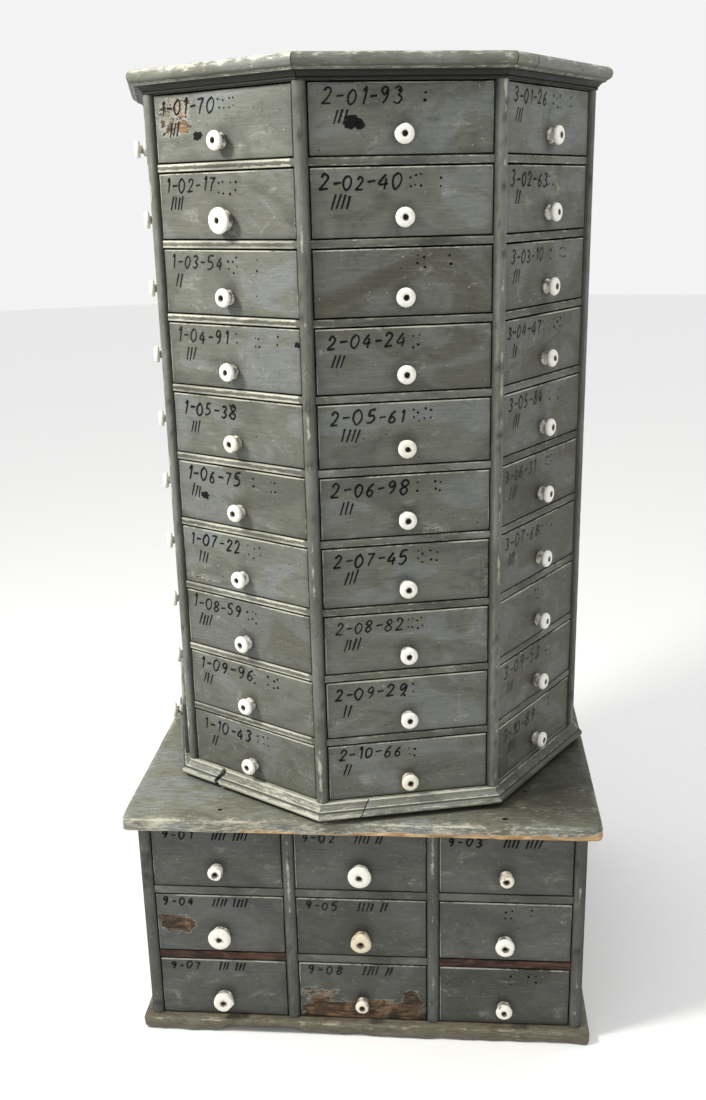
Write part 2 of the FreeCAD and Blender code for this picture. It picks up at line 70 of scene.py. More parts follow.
MM = 0.001
ROWS, BASE_ROWS, BASE_COLUMNS = 10, 3, 3
FACE_STEP = math.radians(45)
TAN_HALF = math.tan(FACE_STEP / 2)
COS_HALF = math.cos(FACE_STEP / 2)
SIN_HALF = math.sin(FACE_STEP / 2)
SLIDES = {joint["child"]: joint for joint in frame["joints"] if joint["type"] == "slide"}
TURN = facing("drawer_front_01")
VERTEX_RADIUS = max(v.co.xy.length for v in frame["nodes"]["turret_floor"].data.vertices)
APOTHEM = VERTEX_RADIUS * COS_HALF
TURRET_FLOOR = high("turret_floor")
CEILING = low("turret_carcase_top")
ROOF_UNDERSIDE = low("turret_roof_board")
ROOF_TOP = high("turret_roof_board")
FOOT_LOW = low("turret_foot_moulding")
OPENING = low("turret_shelves") - TURRET_FLOOR
PITCH = (CEILING - TURRET_FLOOR - OPENING) / (ROWS - 1)
SHELF = PITCH - OPENING

BASE_FLOOR = high("base_bottom_board")
BASE_CEILING = low("base_top_board")
BASE_HALF = high("base_front_beads", 0)
BASE_FRONT = low("base_front_rails", 1)
BASE_BACK = high("base_case_panels", 1)
BASE_OPENING = low("base_front_rails") - BASE_FLOOR
BASE_PITCH = (BASE_CEILING - BASE_FLOOR - BASE_OPENING) / (BASE_ROWS - 1)
BASE_RAIL = BASE_PITCH - BASE_OPENING
SPAN = 2 * high("base_partitions", 0)
STILE = (3 * SPAN - 2 * BASE_HALF) / 2
COLUMN = SPAN - 2 * STILE

# ---- small sizes that the frame's boxes don't give ----
KNOB_PROJECTION = 16 * MM
SCREW_HEAD_DEPTH = 11 * MM
TURRET_FRONT = 11 * MM
TURRET_WALL = 7 * MM
BASE_FRONT_BOARD = 14 * MM
BASE_WALL = 9 * MM
DRAWER_BOTTOM = 5 * MM
WALL_DROP = 6 * MM
STILE_HALF = 8.57 * MM
BEAD_PROJECTION = 4.9 * MM
DIVIDER = 8 * MM
POST_DEPTH = (STILE_HALF * COS_HALF - DIVIDER / 2) / SIN_HALF
BEAD_DEPTH = 12 * MM
BASE_BEAD_PROJECTION = 3 * MM
ROOF_INSET = 22 * MM
SHELF_INNER = 46 * MM
SURFACE_LIFT = 0.12 * MM
MESH_STEP = 8 * MM


# ---- materials ----

class Graph:
    """A node tree, with one short call for each kind of node."""

    def __init__(self, tree):
        self.tree = tree

    def fill(self, node, inputs):
        """Sets inputs, by name or number, to values or to other nodes' outputs."""
        for key, value in inputs.items():
            socket = node.inputs[key]
            if isinstance(value, bpy.types.NodeSocket):
                self.tree.links.new(value, socket)
            elif isinstance(value, tuple) and len(value) < len(socket.default_value):
                socket.default_value = (*value, 1.0)
            else:
                socket.default_value = value

    def node(self, kind, inputs=None, output=0, **settings):
        """Adds a node and returns one of its outputs."""
        node = self.tree.nodes.new(kind)
        for key, value in settings.items():
            setattr(node, key, value)
        self.fill(node, inputs or {})
        return node.outputs[output]

    def maths(self, operation, a, b=0.0):
        return self.node("ShaderNodeMath", {0: a, 1: b}, operation=operation)

    def plus(self, a, b):
        return self.maths("ADD", a, b)

    def times(self, a, b):
        return self.maths("MULTIPLY", a, b)

    def step(self, value, start, end, full=1.0):
        """0 below start and full above end, or the other way round if end is lower."""
        span = {"Value": value, "From Min": start, "From Max": end, "To Max": full}
        return self.node("ShaderNodeMapRange", span, interpolation_type="SMOOTHSTEP")

    def scaled(self, value, start, end):
        """A 0 to 1 value mapped to start to end."""
        return self.node("ShaderNodeMapRange", {"Value": value, "To Min": start, "To Max": end})

    def mix(self, factor, a, b):
        return self.node("ShaderNodeMix", {0: factor, 6: a, 7: b}, 2, data_type="RGBA")

    def over(self, paint, colour, value, start, end, amount):
        """Paint covered with another colour where value is past a step."""
        return self.mix(self.times(self.step(value, start, end), amount), paint, colour)


class Surface(Graph):
    """A material's graph. Its grain is each vertex's grain place, or the object's own
    place if local, and its marks are those that Piece describes."""

    def __init__(self, name, local=False):
        self.material = bpy.data.materials.new(name)
        self.material.use_nodes = True
        super().__init__(self.material.node_tree)
        self.tree.nodes.clear()
        if local:
            self.grain = self.node("ShaderNodeTexCoord", output="Object")
            return
        self.grain = self.node("ShaderNodeAttribute", output="Vector", attribute_name="grain")
        # The marks: red is worn pale edges and painted highlights, green is bare wood, blue is soiling and
        # painted shade, alpha is tone, painted light and shade in places.
        colour = self.node("ShaderNodeAttribute", attribute_name="marks")
        self.wear, self.bare, self.grime_and_shade = self.node("ShaderNodeSeparateColor", {0: colour}).node.outputs
        self.tone = colour.node.outputs["Alpha"]

    def noise(self, scale, detail=2.0, roughness=0.5, distortion=0.0, stretch=None):
        """Noise over the grain, which may be stretched by a factor for each axis."""
        place = self.grain
        if stretch:
            place = self.node("ShaderNodeVectorMath", {0: place, 1: stretch}, operation="MULTIPLY")
        return self.node("ShaderNodeTexNoise", {
            "Vector": place, "Scale": scale, "Detail": detail,
            "Roughness": roughness, "Distortion": distortion,
        })

    def finish(self, colour, roughness, height=None, depth=0.0004, **fixed):
        """The shader; fixed holds the values that are the same all over the surface."""
        inputs = {"Base Color": colour, "Roughness": roughness}
        inputs.update((key.replace("_", " "), value) for key, value in fixed.items())
        if height is not None:
            bump = {"Strength": 0.7, "Distance": depth, "Height": height}
            inputs["Normal"] = self.node("ShaderNodeBump", bump)
        shader = self.node("ShaderNodeBsdfPrincipled", inputs)
        self.tree.links.new(shader, self.tree.nodes.new("ShaderNodeOutputMaterial").inputs[0])
        return self.material


def wood_colour(g, dark, light):
    """Streaks and pores along the grain; returns the colour and the streaks."""
    rings = g.noise(14, 4, 0.6, 0.8, (1.2, 16, 16))
    pores = g.noise(22, stretch=(5, 90, 90))
    streaks = g.plus(g.times(rings, 0.75), g.times(pores, 0.35))
    return g.mix(g.step(streaks, 0.40, 0.66), dark, light), streaks


def aged_paint(name, shade, light, cool, rubbed_and_highlight, wood, scuffs=0.0, stain=0.0, brushed=0.15, drawn=1.0):
    """Old flat paint: clouded and brushed by hand, scratched and specked, darkened where its
    marks give soiling and painted shade, worn pale along its edges, which also paints
    highlights where the marks carry them, and gone in places, down to the wood. drawn is
    how far the flakes and worn places are drawn out along the grain."""
    g = Surface(name)
    clouds = g.noise(12, 3, 0.55, 1.0, (0.75, 1.15, 1.15))
    smears = g.noise(30, 3, 0.6, 0.8, (1, 1.6, 1.6))
    brush = g.noise(46, 3, 0.6, stretch=(1, 9, 9))
    ragged = g.noise(120 * drawn**0.7, 4, 0.7, stretch=(1 / drawn, 1.6, 1.6))
    flecks = g.noise(300, 2, 0.6, stretch=(1, 1.3, 1.3))
    threads = g.noise(36, 1, 0.4, 1.6, (0.6, 1.9, 1.9))
    dark = tuple(0.22 * c for c in shade)
    torn = g.maths("SUBTRACT", ragged, 0.5)
    cooled = g.times(g.step(clouds, 0.49, 0.58), g.scaled(g.tone, 0.28, 0.72))
    paint = g.mix(cooled, g.mix(g.tone, shade, light), cool)
    for colour, value, start, end, amount in (
        (dark, clouds, 0.46, 0.34, 0.26),
        (rubbed_and_highlight, smears, 0.60, 0.76, 0.24),
        (dark, smears, 0.44, 0.30, 0.22),
        (dark, brush, 0.56, 0.36, brushed),
        (rubbed_and_highlight, brush, 0.58, 0.74, 0.6 * brushed),
    ):
        paint = g.over(paint, colour, value, start, end, amount)
    near_thread = g.maths("ABSOLUTE", g.maths("SUBTRACT", threads, 0.5))
    scratch = g.times(g.step(near_thread, 0.010, 0.002), g.step(smears, 0.57, 0.64))
    paint = g.mix(g.times(scratch, 0.35), paint, rubbed_and_highlight)
    if stain:
        paint = g.over(paint, STAIN, g.plus(smears, g.times(flecks, 0.3)), 0.60, 0.74, stain)
    paint = g.over(paint, dark, flecks, 0.335, 0.29, 0.6)
    paint = g.over(paint, rubbed_and_highlight, flecks, 0.715, 0.75, 0.8)
    # Pale where the marks give worn edges and painted highlights.
    paint = g.over(paint, rubbed_and_highlight, g.plus(g.wear, g.times(torn, 1.3)), 0.55, 0.95, 0.85)
    if scuffs:
        streak = g.noise(85, 4, 0.72, stretch=(1, 4.5, 4.5))
        scuff = g.plus(g.plus(streak, g.times(smears, 0.45)), g.times(g.wear, 0.28))
        paint = g.over(paint, rubbed_and_highlight, scuff, 0.88, 0.98, scuffs)
    lost = g.plus(g.bare, g.times(torn, 0.9))
    gone = g.step(lost, 0.44, 0.50)
    wood_shade = g.over(wood_colour(g, *wood)[0], wood[0], smears, 0.42, 0.58, 0.75)
    colour = g.mix(gone, g.over(paint, rubbed_and_highlight, lost, 0.35, 0.44, 0.45), wood_shade)
    # Darkened where the marks give soiling and painted shade.
    dirt_and_shade = g.times(g.grime_and_shade, g.scaled(ragged, 0.6, 1.2))
    colour = g.mix(g.times(dirt_and_shade, 0.92), colour, dark)
    height = g.plus(g.times(brush, 0.35), g.times(ragged, 0.25))
    height = g.maths("SUBTRACT", height, g.times(gone, 0.8))
    roughness = g.scaled(g.plus(g.times(smears, 0.7), g.times(gone, 0.5)), 0.36, 0.85)
    return g.finish(colour, roughness, height, Specular_IOR_Level=0.25)


def bare_wood(name, dark, light):
    g = Surface(name)
    colour, streaks = wood_colour(g, dark, light)
    colour = g.over(colour, DUST, g.noise(25, 3), 0.45, 0.75, 0.35)
    colour = g.mix(g.times(g.wear, 0.3), colour, tuple(0.5 * c for c in dark))
    return g.finish(colour, g.scaled(streaks, 0.6, 0.9), streaks, 0.0003, Specular_IOR_Level=0.2)


def plain_wood(name, dark, light):
    """Bare wood for the boards inside, with its grain along each object's Z."""
    g = Surface(name, local=True)
    rings = g.noise(12, 4, 0.6, 0.6, (14, 14, 1.6))
    pores = g.noise(16, stretch=(90, 90, 6))
    streaks = g.plus(g.times(rings, 0.7), g.times(pores, 0.3))
    return g.finish(g.mix(g.step(streaks, 0.35, 0.7), dark, light), 0.8, streaks, 0.0003)


def rusty_steel(name, local, scale, start, clean, rusty, roughest, metallic):
    g = Surface(name, local)
    rust = g.noise(scale, 4, 0.65)
    colour = g.mix(g.step(rust, start, start + 0.2), clean, rusty)
    return g.finish(colour, g.scaled(rust, 0.35, roughest), rust, 0.0002, Metallic=metallic)


def ink(name, figure, paint):
    """Brushed figures, thin enough in places to show the paint under them."""
    g = Surface(name)
    thin = g.noise(9, 3, 0.7, stretch=(30, 60, 60))
    colour = g.over(figure, paint, g.plus(thin, g.times(g.tone, 0.35)), 0.68, 0.95, 0.75)
    return g.finish(colour, 0.5, Specular_IOR_Level=0.1)


def porcelain(name):
    """White glaze with fine crazing, soiled about the screw and darkened under the head as painted shade, and
    rough bare clay at chips.
    """
    g = Surface(name)
    stain = g.noise(120, 3, 0.6)
    glaze = g.mix(g.tone, (0.86, 0.85, 0.78), (0.68, 0.60, 0.41))
    cracks = g.node("ShaderNodeTexVoronoi", {"Vector": g.grain, "Scale": 260}, feature="DISTANCE_TO_EDGE")
    crazed = g.times(g.step(cracks, 0.04, 0.0), g.step(stain, 0.48, 0.64))
    colour = g.mix(g.times(crazed, 0.55), glaze, (0.30, 0.24, 0.17))
    colour = g.over(colour, (0.12, 0.09, 0.06), g.noise(700), 0.70, 0.76, 0.7)
    # Darker where the marks give soiling and painted shade, and where the glaze is stained.
    dirty_and_shaded = g.step(g.plus(g.grime_and_shade, g.times(g.maths("SUBTRACT", stain, 0.5), 1.4)), 0.42, 0.95)
    colour = g.mix(g.times(dirty_and_shaded, 0.92), colour, (0.07, 0.05, 0.035))
    clay = g.mix(g.step(stain, 0.42, 0.60), (0.17, 0.12, 0.08), (0.60, 0.54, 0.43))
    chip = g.step(g.bare, 0.30, 0.45)
    roughness = g.scaled(g.maths("MAXIMUM", chip, dirty_and_shaded), 0.14, 0.8)
    return g.finish(g.mix(chip, colour, clay), roughness, g.times(stain, chip), 0.0008)


# A near-black surface laid where a hole is: its colour is the painted shade inside the hole.
def nail_hole(name):
    g = Surface(name)
    soot_and_shade = g.mix(g.noise(700), (0.004, 0.004, 0.003), (0.015, 0.012, 0.009))
    return g.finish(soot_and_shade, 0.95, Specular_IOR_Level=0.1)


WALNUT = ((0.018, 0.009, 0.006), (0.115, 0.054, 0.032))
PINE = ((0.30, 0.17, 0.08), (0.66, 0.48, 0.26))
OLD_OAK = ((0.024, 0.016, 0.011), (0.25, 0.155, 0.085))
STAIN = (0.085, 0.058, 0.036)
DUST = (0.30, 0.26, 0.21)
INK = (0.007, 0.007, 0.008)
# Each paint has its shade, its light and cool tones, the pale of its worn edges and painted highlights, and
# its wood.
paint = aged_paint(
    "aged_paint", (0.092, 0.092, 0.070), (0.156, 0.162, 0.136), (0.182, 0.196, 0.196),
    (0.46, 0.46, 0.38), OLD_OAK,
)
base_paint = aged_paint(
    "aged_base_paint", (0.062, 0.063, 0.054), (0.094, 0.097, 0.087), (0.108, 0.112, 0.103),
    (0.36, 0.36, 0.31), OLD_OAK,
)
trim_paint = aged_paint(
    "aged_trim_paint", (0.086, 0.090, 0.071), (0.160, 0.166, 0.141), (0.178, 0.188, 0.178),
    (0.42, 0.41, 0.33), WALNUT,
)
moulding_paint = aged_paint(
    "weathered_moulding_paint", (0.086, 0.090, 0.068), (0.182, 0.188, 0.152), (0.192, 0.204, 0.188),
    (0.58, 0.57, 0.47), WALNUT, drawn=2.5,
)
board_paint = aged_paint(
    "weathered_board_paint", (0.078, 0.078, 0.052), (0.210, 0.218, 0.170), (0.235, 0.258, 0.246),
    (0.56, 0.53, 0.42), PINE, scuffs=0.5, stain=0.25, brushed=0.36, drawn=3.0,
)
foot_board_paint = aged_paint(
    "weathered_foot_paint", (0.151, 0.138, 0.091), (0.232, 0.218, 0.157), (0.200, 0.198, 0.160),
    (0.52, 0.48, 0.37), OLD_OAK, scuffs=0.55, stain=0.45, brushed=0.36, drawn=2.5,
)
inside_wood = bare_wood("inside_wood", (0.085, 0.060, 0.040), (0.24, 0.18, 0.12))
lettering = ink("brushed_ink", INK, (0.11, 0.115, 0.09))
glazed = porcelain("glazed_porcelain")
hole = nail_hole("nail_hole")
screw_steel = rusty_steel(
    "old_steel", False, 160, 0.42, (0.045, 0.042, 0.04), (0.06, 0.03, 0.018), 0.85, 0.55,
)
plate_steel = rusty_steel(
    "plate_steel", True, 120, 0.45, (0.16, 0.155, 0.15), (0.10, 0.05, 0.03), 0.8, 0.6,
)
hidden_wood = plain_wood("hidden_wood", (0.13, 0.08, 0.045), (0.32, 0.21, 0.12))


# ---- mesh building ----

# A drawer's material slots; every other piece has its paint in the first.
PAINTED, WOODEN, INKED, PIERCED = range(4)
RIM_LINE = 1.5 * MM


def clamp(value):
    return max(0.0, min(1.0, value))


def ramp(value, start, end):
    """0 at start and before it, 1 at end and beyond."""
    return clamp((value - start) / (end - start))


def wander(place, frequency, seed=0.0):
    """Smooth noise between -1 and 1."""
    return noise.noise(Vector(place) * frequency + Vector((seed, 1.7 * seed, -seed)))


def bumps(place, frequency, seed=0.0, above=0.0):
    """The part of the smooth noise that is above a level."""
    return max(0.0, wander(place, frequency, seed) - above)


def uneven(place, frequency, seed=0.0):
    """Smooth noise between 0 and 1."""
    return 0.5 + 0.5 * wander(place, frequency, seed)


def turned(angle):
    return Matrix.Rotation(angle, 4, "Z")


def face_turn(k):
    return turned(TURN + k * FACE_STEP)


def spaced(start, end, step):
    count = max(1, round((end - start) / step))
    return [start + (end - start) * i / count for i in range(count + 1)]


def circle(count):
    return [2 * math.pi * i / count for i in range(count)]


class Piece:
    """Gathers the boards, sweeps and turned shapes that make one visible piece.

    Each vertex has a grain place, with x along its board's grain, and marks: how far it
    is a worn edge and painted highlight, bare wood, and soiled and painted with shade, and the
    tone of its board, each from 0 to 1; in places the tone is painted light and shade too.
    """

    def __init__(self, name):
        self.name = name
        self.random = random.Random(f"{name}0")
        self.points, self.grains, self.marks = [], [], []
        self.faces, self.slots = [], []
        self.place = Matrix.Identity(4)
        self.new_board()

    def new_board(self, tone=None):
        """Starts another board, with grain and tone of its own."""
        self.grain_start = Vector([self.random.uniform(-40, 40) for _ in range(3)])
        self.tone = self.random.random() if tone is None else tone
        self.seed = self.random.uniform(-50, 50)

    def add(self, point, grain, wear=0.0, bare=0.0, grime_and_shade=0.0, tone=None):
        self.points.append(self.place @ Vector(point))
        self.grains.append(self.grain_start + Vector(grain))
        self.marks.append((wear, bare, grime_and_shade, self.tone if tone is None else tone))
        return len(self.points) - 1

    def face(self, corners, slot=PAINTED):
        self.faces.append(tuple(corners))
        self.slots.append(slot)

    def join(self, loops, slot=PAINTED, ends=True):
        """Quads between successive loops of vertices, with a face over each end."""
        count = len(loops[0])
        for first, second in zip(loops, loops[1:]):
            for i in range(count):
                j = (i + 1) % count
                self.face((first[i], first[j], second[j], second[i]), slot)
        if ends:
            self.face(loops[0], slot)
            self.face(reversed(loops[-1]), slot)

    def build(self, body, materials, replaced=(), sharp=50, slot="painted_wood"):
        mesh = bpy.data.meshes.new(self.name)
        mesh.from_pydata(self.points, [], self.faces)
        mesh.polygons.foreach_set("material_index", self.slots)
        for name, kind, field, values in (
            ("grain", "FLOAT_VECTOR", "vector", self.grains), ("marks", "FLOAT_COLOR", "color", self.marks),
        ):
            layer = mesh.attributes.new(name, kind, "POINT")
            layer.data.foreach_set(field, [part for value in values for part in value])
        shell = bmesh.new()
        shell.from_mesh(mesh)
        bmesh.ops.recalc_face_normals(shell, faces=shell.faces)
        shell.to_mesh(mesh)
        shell.free()
        mesh.polygons.foreach_set("use_smooth", [True] * len(mesh.polygons))
        mesh.set_sharp_from_angle(angle=math.radians(sharp))
        for material in materials:
            mesh.materials.append(material)
        obj = bpy.data.objects.new(self.name, mesh)
        bpy.context.scene.collection.objects.link(obj)
        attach(obj, body)
        if replaced:
            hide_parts(*replaced)


def arc(start, middle, end, count):
    """Points from start to end along the circle through all three."""
    a, b, c = (complex(*point) for point in (start, middle, end))
    w = (c - a) / (b - a)
    centre = a + (b - a) * (w - abs(w) ** 2) / (2j * w.imag)
    spread = cmath.phase((c - centre) / (a - centre)) % (2 * math.pi) - 2 * math.pi * (w.imag < 0)
    places = [centre + (a - centre) * cmath.rect(1, spread * i / count) for i in range(count + 1)]
    return [(p.real, p.imag) for p in places]


def in_metres(profile, z=0.0):
    """A profile in millimetres above a height in metres."""
    return [(x * MM, z + up * MM) for x, up in profile]


def lines(half, radius, step):
    """Grid lines from -half to half, with close ones over the rounded edges and one more
    just inside them, where there is room."""
    inner = half - radius
    rims = [inner] if inner > RIM_LINE + step / 2 else []
    core = inner - RIM_LINE if rims else inner
    nearly = half - 0.35 * radius
    return [-half, -nearly, *(-r for r in rims), *spaced(-core, core, step), *rims, nearly, half]


def board(piece, lo, hi, radius, step, shape, mark, along=0, worn=4 * MM):
    """A block with rounded edges. shape(point, normal, edge) moves a point of its surface,
    and mark(point, edge) gives the worn pale edge and painted highlight, bareness, soiling
    and painted shade, and perhaps tone there."""
    lo, hi = Vector(lo), Vector(hi)
    centre, half = (lo + hi) / 2, (hi - lo) / 2
    grid = [lines(h, min(radius, 0.45 * h), step) for h in half]
    core = [h - min(radius, 0.45 * h) for h in half]
    last = [len(g) - 1 for g in grid]
    order = [along] + [a for a in range(3) if a != along]

    @functools.cache
    def vertex(*index):
        p = Vector([grid[a][index[a]] for a in range(3)])
        inner = Vector([max(-core[a], min(core[a], p[a])) for a in range(3)])
        normal = (p - inner).normalized()
        edge = max(0.0, 1 - sorted(half[a] - abs(p[a]) for a in range(3))[1] / worn)
        p = inner + Vector([normal[a] * (half[a] - core[a]) for a in range(3)]) + centre
        marks = mark(p, edge)
        p = shape(p, normal, edge)
        return piece.add(p, [p[a] for a in order], *marks)

    for axis in range(3):
        u, v = sorted({0, 1, 2} - {axis})
        for end, i, j in itertools.product((0, last[axis]), range(last[u]), range(last[v])):
            around = [{axis: end, u: i + du, v: j + dv} for du, dv in ((0, 0), (1, 0), (1, 1), (0, 1))]
            piece.face(vertex(*(index[a] for a in range(3))) for index in around)


def worn_shape(seed, dent=0.25 * MM):
    """Shallow unevenness all over, and nicks along the edges, always inwards."""
    def shape(p, normal, edge):
        nicks = bumps(p, 130, seed, 0.12) + bumps(p, 42, -seed, 0.3)
        return p - normal * (dent * uneven(p, 18, seed) + 0.6 * MM * edge * nicks)
    return shape


def corners_of(outline):
    """Each corner of an outline with the ones before and after it."""
    points = [Vector(point) for point in outline]
    return zip(points[-1:] + points[:-1], points, points[1:] + points[:1])


def outset(outline, distance):
    """A convex outline with every side moved out by a distance, or in if negative."""
    moved = []
    for a, b, c in corners_of(outline):
        n1 = Vector(((b - a).y, -(b - a).x)).normalized()
        n2 = Vector(((c - b).y, -(c - b).x)).normalized()
        moved.append(b + (n1 + n2) * (distance / (1 + n1.dot(n2))))
    return moved


def slab(piece, outline, z0, z1, step=0.2, chamfer=0.6 * MM, rim=1 * MM, slot=PAINTED, along=0,
         rough=0.15 * MM, sides=None, worn=1.0, dirt_and_shade=0.0, smudge=0.0):
    """A board of any convex outline with softened edges, worn on the named sides or on all
    of them; the worn pale edges also stand for painted highlights. The pale band reaches
    in by rim on its top and bottom, which are darkened by the given amount as painted
    shade in the gaps; smudge is how soiled its sides are in places."""
    if sum(a.x * b.y - b.x * a.y for a, b, _ in corners_of(outline)) < 0:
        outline = outline[::-1]
    counts = [max(1, round((c - b).length / step)) for _, b, c in corners_of(outline)]

    def ring(inset, z, wear, soiled):
        for i, (_, a, b) in enumerate(corners_of(outset(outline, -inset))):
            out = Vector(((b - a).y, -(b - a).x)).normalized()
            for k in range(counts[i]):
                p = a.lerp(b, k / counts[i])
                p += out * (rough * wander((*p, z), 60, piece.seed) - rough)
                # Top and bottom near the edge are darkened as painted shade in the gaps; smudge soils the
                # sides in patches.
                grime_and_shade = max(dirt_and_shade * soiled, smudge * ramp(wander((*p, z), 14, piece.seed), -0.1, 0.4))
                # Worn pale edges, which also stand for painted highlights.
                side_wear = worn * wear * (sides is None or i in sides)
                yield piece.add((*p, z), (p[along], p[1 - along], z), side_wear, 0.0, grime_and_shade)

    piece.join([list(ring(*values)) for values in (
        (chamfer + rim, z0, 0, 1),
        (chamfer, z0, 1, 0.6),
        (0, z0 + chamfer, 1, 0),
        (0, (z0 + z1) / 2, 0.25, 0),
        (0, z1 - chamfer, 1, 0),
        (chamfer, z1, 1, 0.6),
        (chamfer + rim, z1, 0, 1),
    )], slot)


def sweep(piece, profile, stations, at, mark, length=1.0, nick=0.5 * MM):
    """A closed profile carried through stations, with its grain along them: at(a, b,
    station) is a point's place, and mark(place) its marks. length is that of a sweep
    from station 0 to 1. Nicks and dents push it back towards +Y."""
    def vertex(a, b, station):
        place = Vector(at(a, b, station))
        grain = (station * length, a, b)
        marks = mark(place)
        place.y += 0.2 * MM * uneven(grain, 30, piece.seed)
        place.y += nick * min(1.0, marks[0]) * bumps(grain, 110, piece.seed, 0.1)
        return piece.add(place, grain, *marks)

    piece.join([[vertex(a, b, station) for a, b in profile] for station in stations])


def lathe(piece, profile, count, place, chips=(), wobble=0.012, dirt_and_shade=lambda *_: 0.0):
    """Turns a profile of (radius, height) points about the -Y direction at a place. chips
    are (angle, half width, share of the radius lost), in degrees."""
    widest, top = (max(point[i] for point in profile) for i in (0, 1))

    def vertex(radius, height, angle):
        spin = Vector((math.cos(angle), math.sin(angle), height / top))
        r = radius * (1 + wobble * wander(spin, 1.3, piece.seed))
        bare = 0.0
        for where, width, lost in chips:
            gap = (math.degrees(angle) - where + 180) % 360 - 180
            bite = max(0.0, 1 - abs(gap) / width)
            upper = clamp((height / top - 0.45) * 4)
            cut = min(0.9, lost * bite**0.5 * upper * (0.7 + 0.5 * wander(spin, 4, piece.seed)))
            if bite and upper and r > widest * (1 - cut):
                bare = max(bare, min(1.0, 2.5 * cut))
                r = widest * (1 - cut)
        x, z = r * math.cos(angle), r * math.sin(angle)
        p = Vector(place) + Vector((x, -height, z))
        return piece.add(p, (x, height, z), 0.0, bare, dirt_and_shade(radius, height))

    loops = [[vertex(*point, angle) for angle in circle(count)] for point in profile]
    piece.join(loops + loops[:1], ends=False)


def disc(piece, x, y, z, radius, count, slot):
    """A small irregular disc lying on a surface that faces -Y."""
    rim = []
    for angle in circle(count):
        r = radius * (1 + 0.25 * piece.random.uniform(-1, 1))
        p = (x + r * math.cos(angle), y, z + r * math.sin(angle))
        rim.append(piece.add(p, p))
    piece.face(rim, slot)


def blot(piece, x, y, z, radius):
    """A spill of ink with lobes and runs, fanned about its middle."""
    middle = piece.add((x, y, z), (x, z, 0))
    rim = []
    for angle in circle(40):
        out = Vector((math.cos(angle), math.sin(angle), 0))
        r = radius * (1 + 0.5 * wander(out, 1.6, piece.seed) + 0.15 * wander(out, 6.0, piece.seed))
        p = (x + 1.25 * r * out.x, y, z + 0.85 * r * out.y)
        rim.append(piece.add(p, (p[0], p[2], 0)))
    for first, second in zip(rim, rim[1:] + rim[:1]):
        piece.face((middle, first, second), INKED)


# ---- hand-painted drawer numbers ----

# Each figure's strokes, as places in hundredths of its size, across and up.
STROKES = {
    "0": "50,100 10,75 5,35 40,0 80,25 85,70 50,100",
    "1": "25,78 55,100 45,0",
    "2": "10,75 40,100 80,80 55,40 5,0 / 5,0 90,5",
    "3": "10,90 50,100 80,75 40,52 / 40,52 85,30 50,0 5,10",
    "4": "60,100 5,35 90,38 / 70,70 60,0",
    "5": "80,100 25,97 / 25,97 15,55 60,58 80,25 45,0 5,8",
    "6": "75,97 25,65 10,20 45,0 80,22 50,50 15,30",
    "7": "5,95 85,100 / 85,100 50,50 35,0",
    "8": "50,54 15,78 50,100 82,78 50,54 / 50,54 10,25 45,0 85,25 50,54",
    "9": "80,75 45,50 12,75 45,100 80,78 70,30 35,0",
    "-": "5,48 80,52",
    "|": "35,105 10,-5",
    " ": "",
}
ADVANCE = {"-": 0.72, "|": 0.36, " ": 0.5, "1": 0.6}
USUAL_ADVANCE = 0.86
STROKE_STEPS = 5


def strokes_of(figure):
    for stroke in filter(None, STROKES[figure].split(" / ")):
        yield [[int(share) / 100 for share in place.split(",")] for place in stroke.split()]


def smooth_path(points):
    """A Catmull-Rom curve through the points of one stroke."""
    path = []
    p = [Vector(q) for q in (points[0], *points, points[-1])]
    for a, b, c, d in zip(p, p[1:], p[2:], p[3:]):
        for k in range(STROKE_STEPS):
            t = k / STROKE_STEPS
            path.append(0.5 * (2 * b + (c - a) * t + (2 * a - 5 * b + 4 * c - d) * t**2
                               + (3 * b - a - 3 * c + d) * t**3))
    return path + [p[-1]]


def paint_number(piece, figures, x, z, y, height, spread):
    """Digits and strokes brushed on a surface that faces -Y, from x rightwards, on z."""
    rnd = piece.random
    for figure in figures:
        lean = rnd.uniform(0.10, 0.24)
        size = height * rnd.uniform(0.90, 1.10)
        foot = z + rnd.uniform(-0.06, 0.06) * height
        load = rnd.uniform(0.15, 0.20) * (1.35 if height < 14 * MM else 1.0)
        for stroke in strokes_of(figure):
            bent = [(u + rnd.uniform(-0.05, 0.05), v + rnd.uniform(-0.04, 0.04)) for u, v in stroke]
            path = [Vector((x + (0.66 * q.x + lean * q.y) * size, foot + q.y * size))
                    for q in smooth_path(bent)]
            rails = []
            for i, q in enumerate(path):
                ahead = path[min(i + 1, len(path) - 1)] - path[max(i - 1, 0)]
                side = Vector((-ahead.y, ahead.x)).normalized()
                share = i / (len(path) - 1)
                width = (load - 0.05 * share + 0.015 * rnd.uniform(-1, 1)) * height
                ends = [q + side * (sign * width / 2) for sign in (1, -1)]
                rails.append([piece.add((p.x, y, p.y), (p.x, p.y, share)) for p in ends])
            for (a, b), (c, d) in zip(rails, rails[1:]):
                piece.face((a, c, d, b), INKED)
        x += size * spread * ADVANCE.get(figure, USUAL_ADVANCE)


# ---- drawers ----

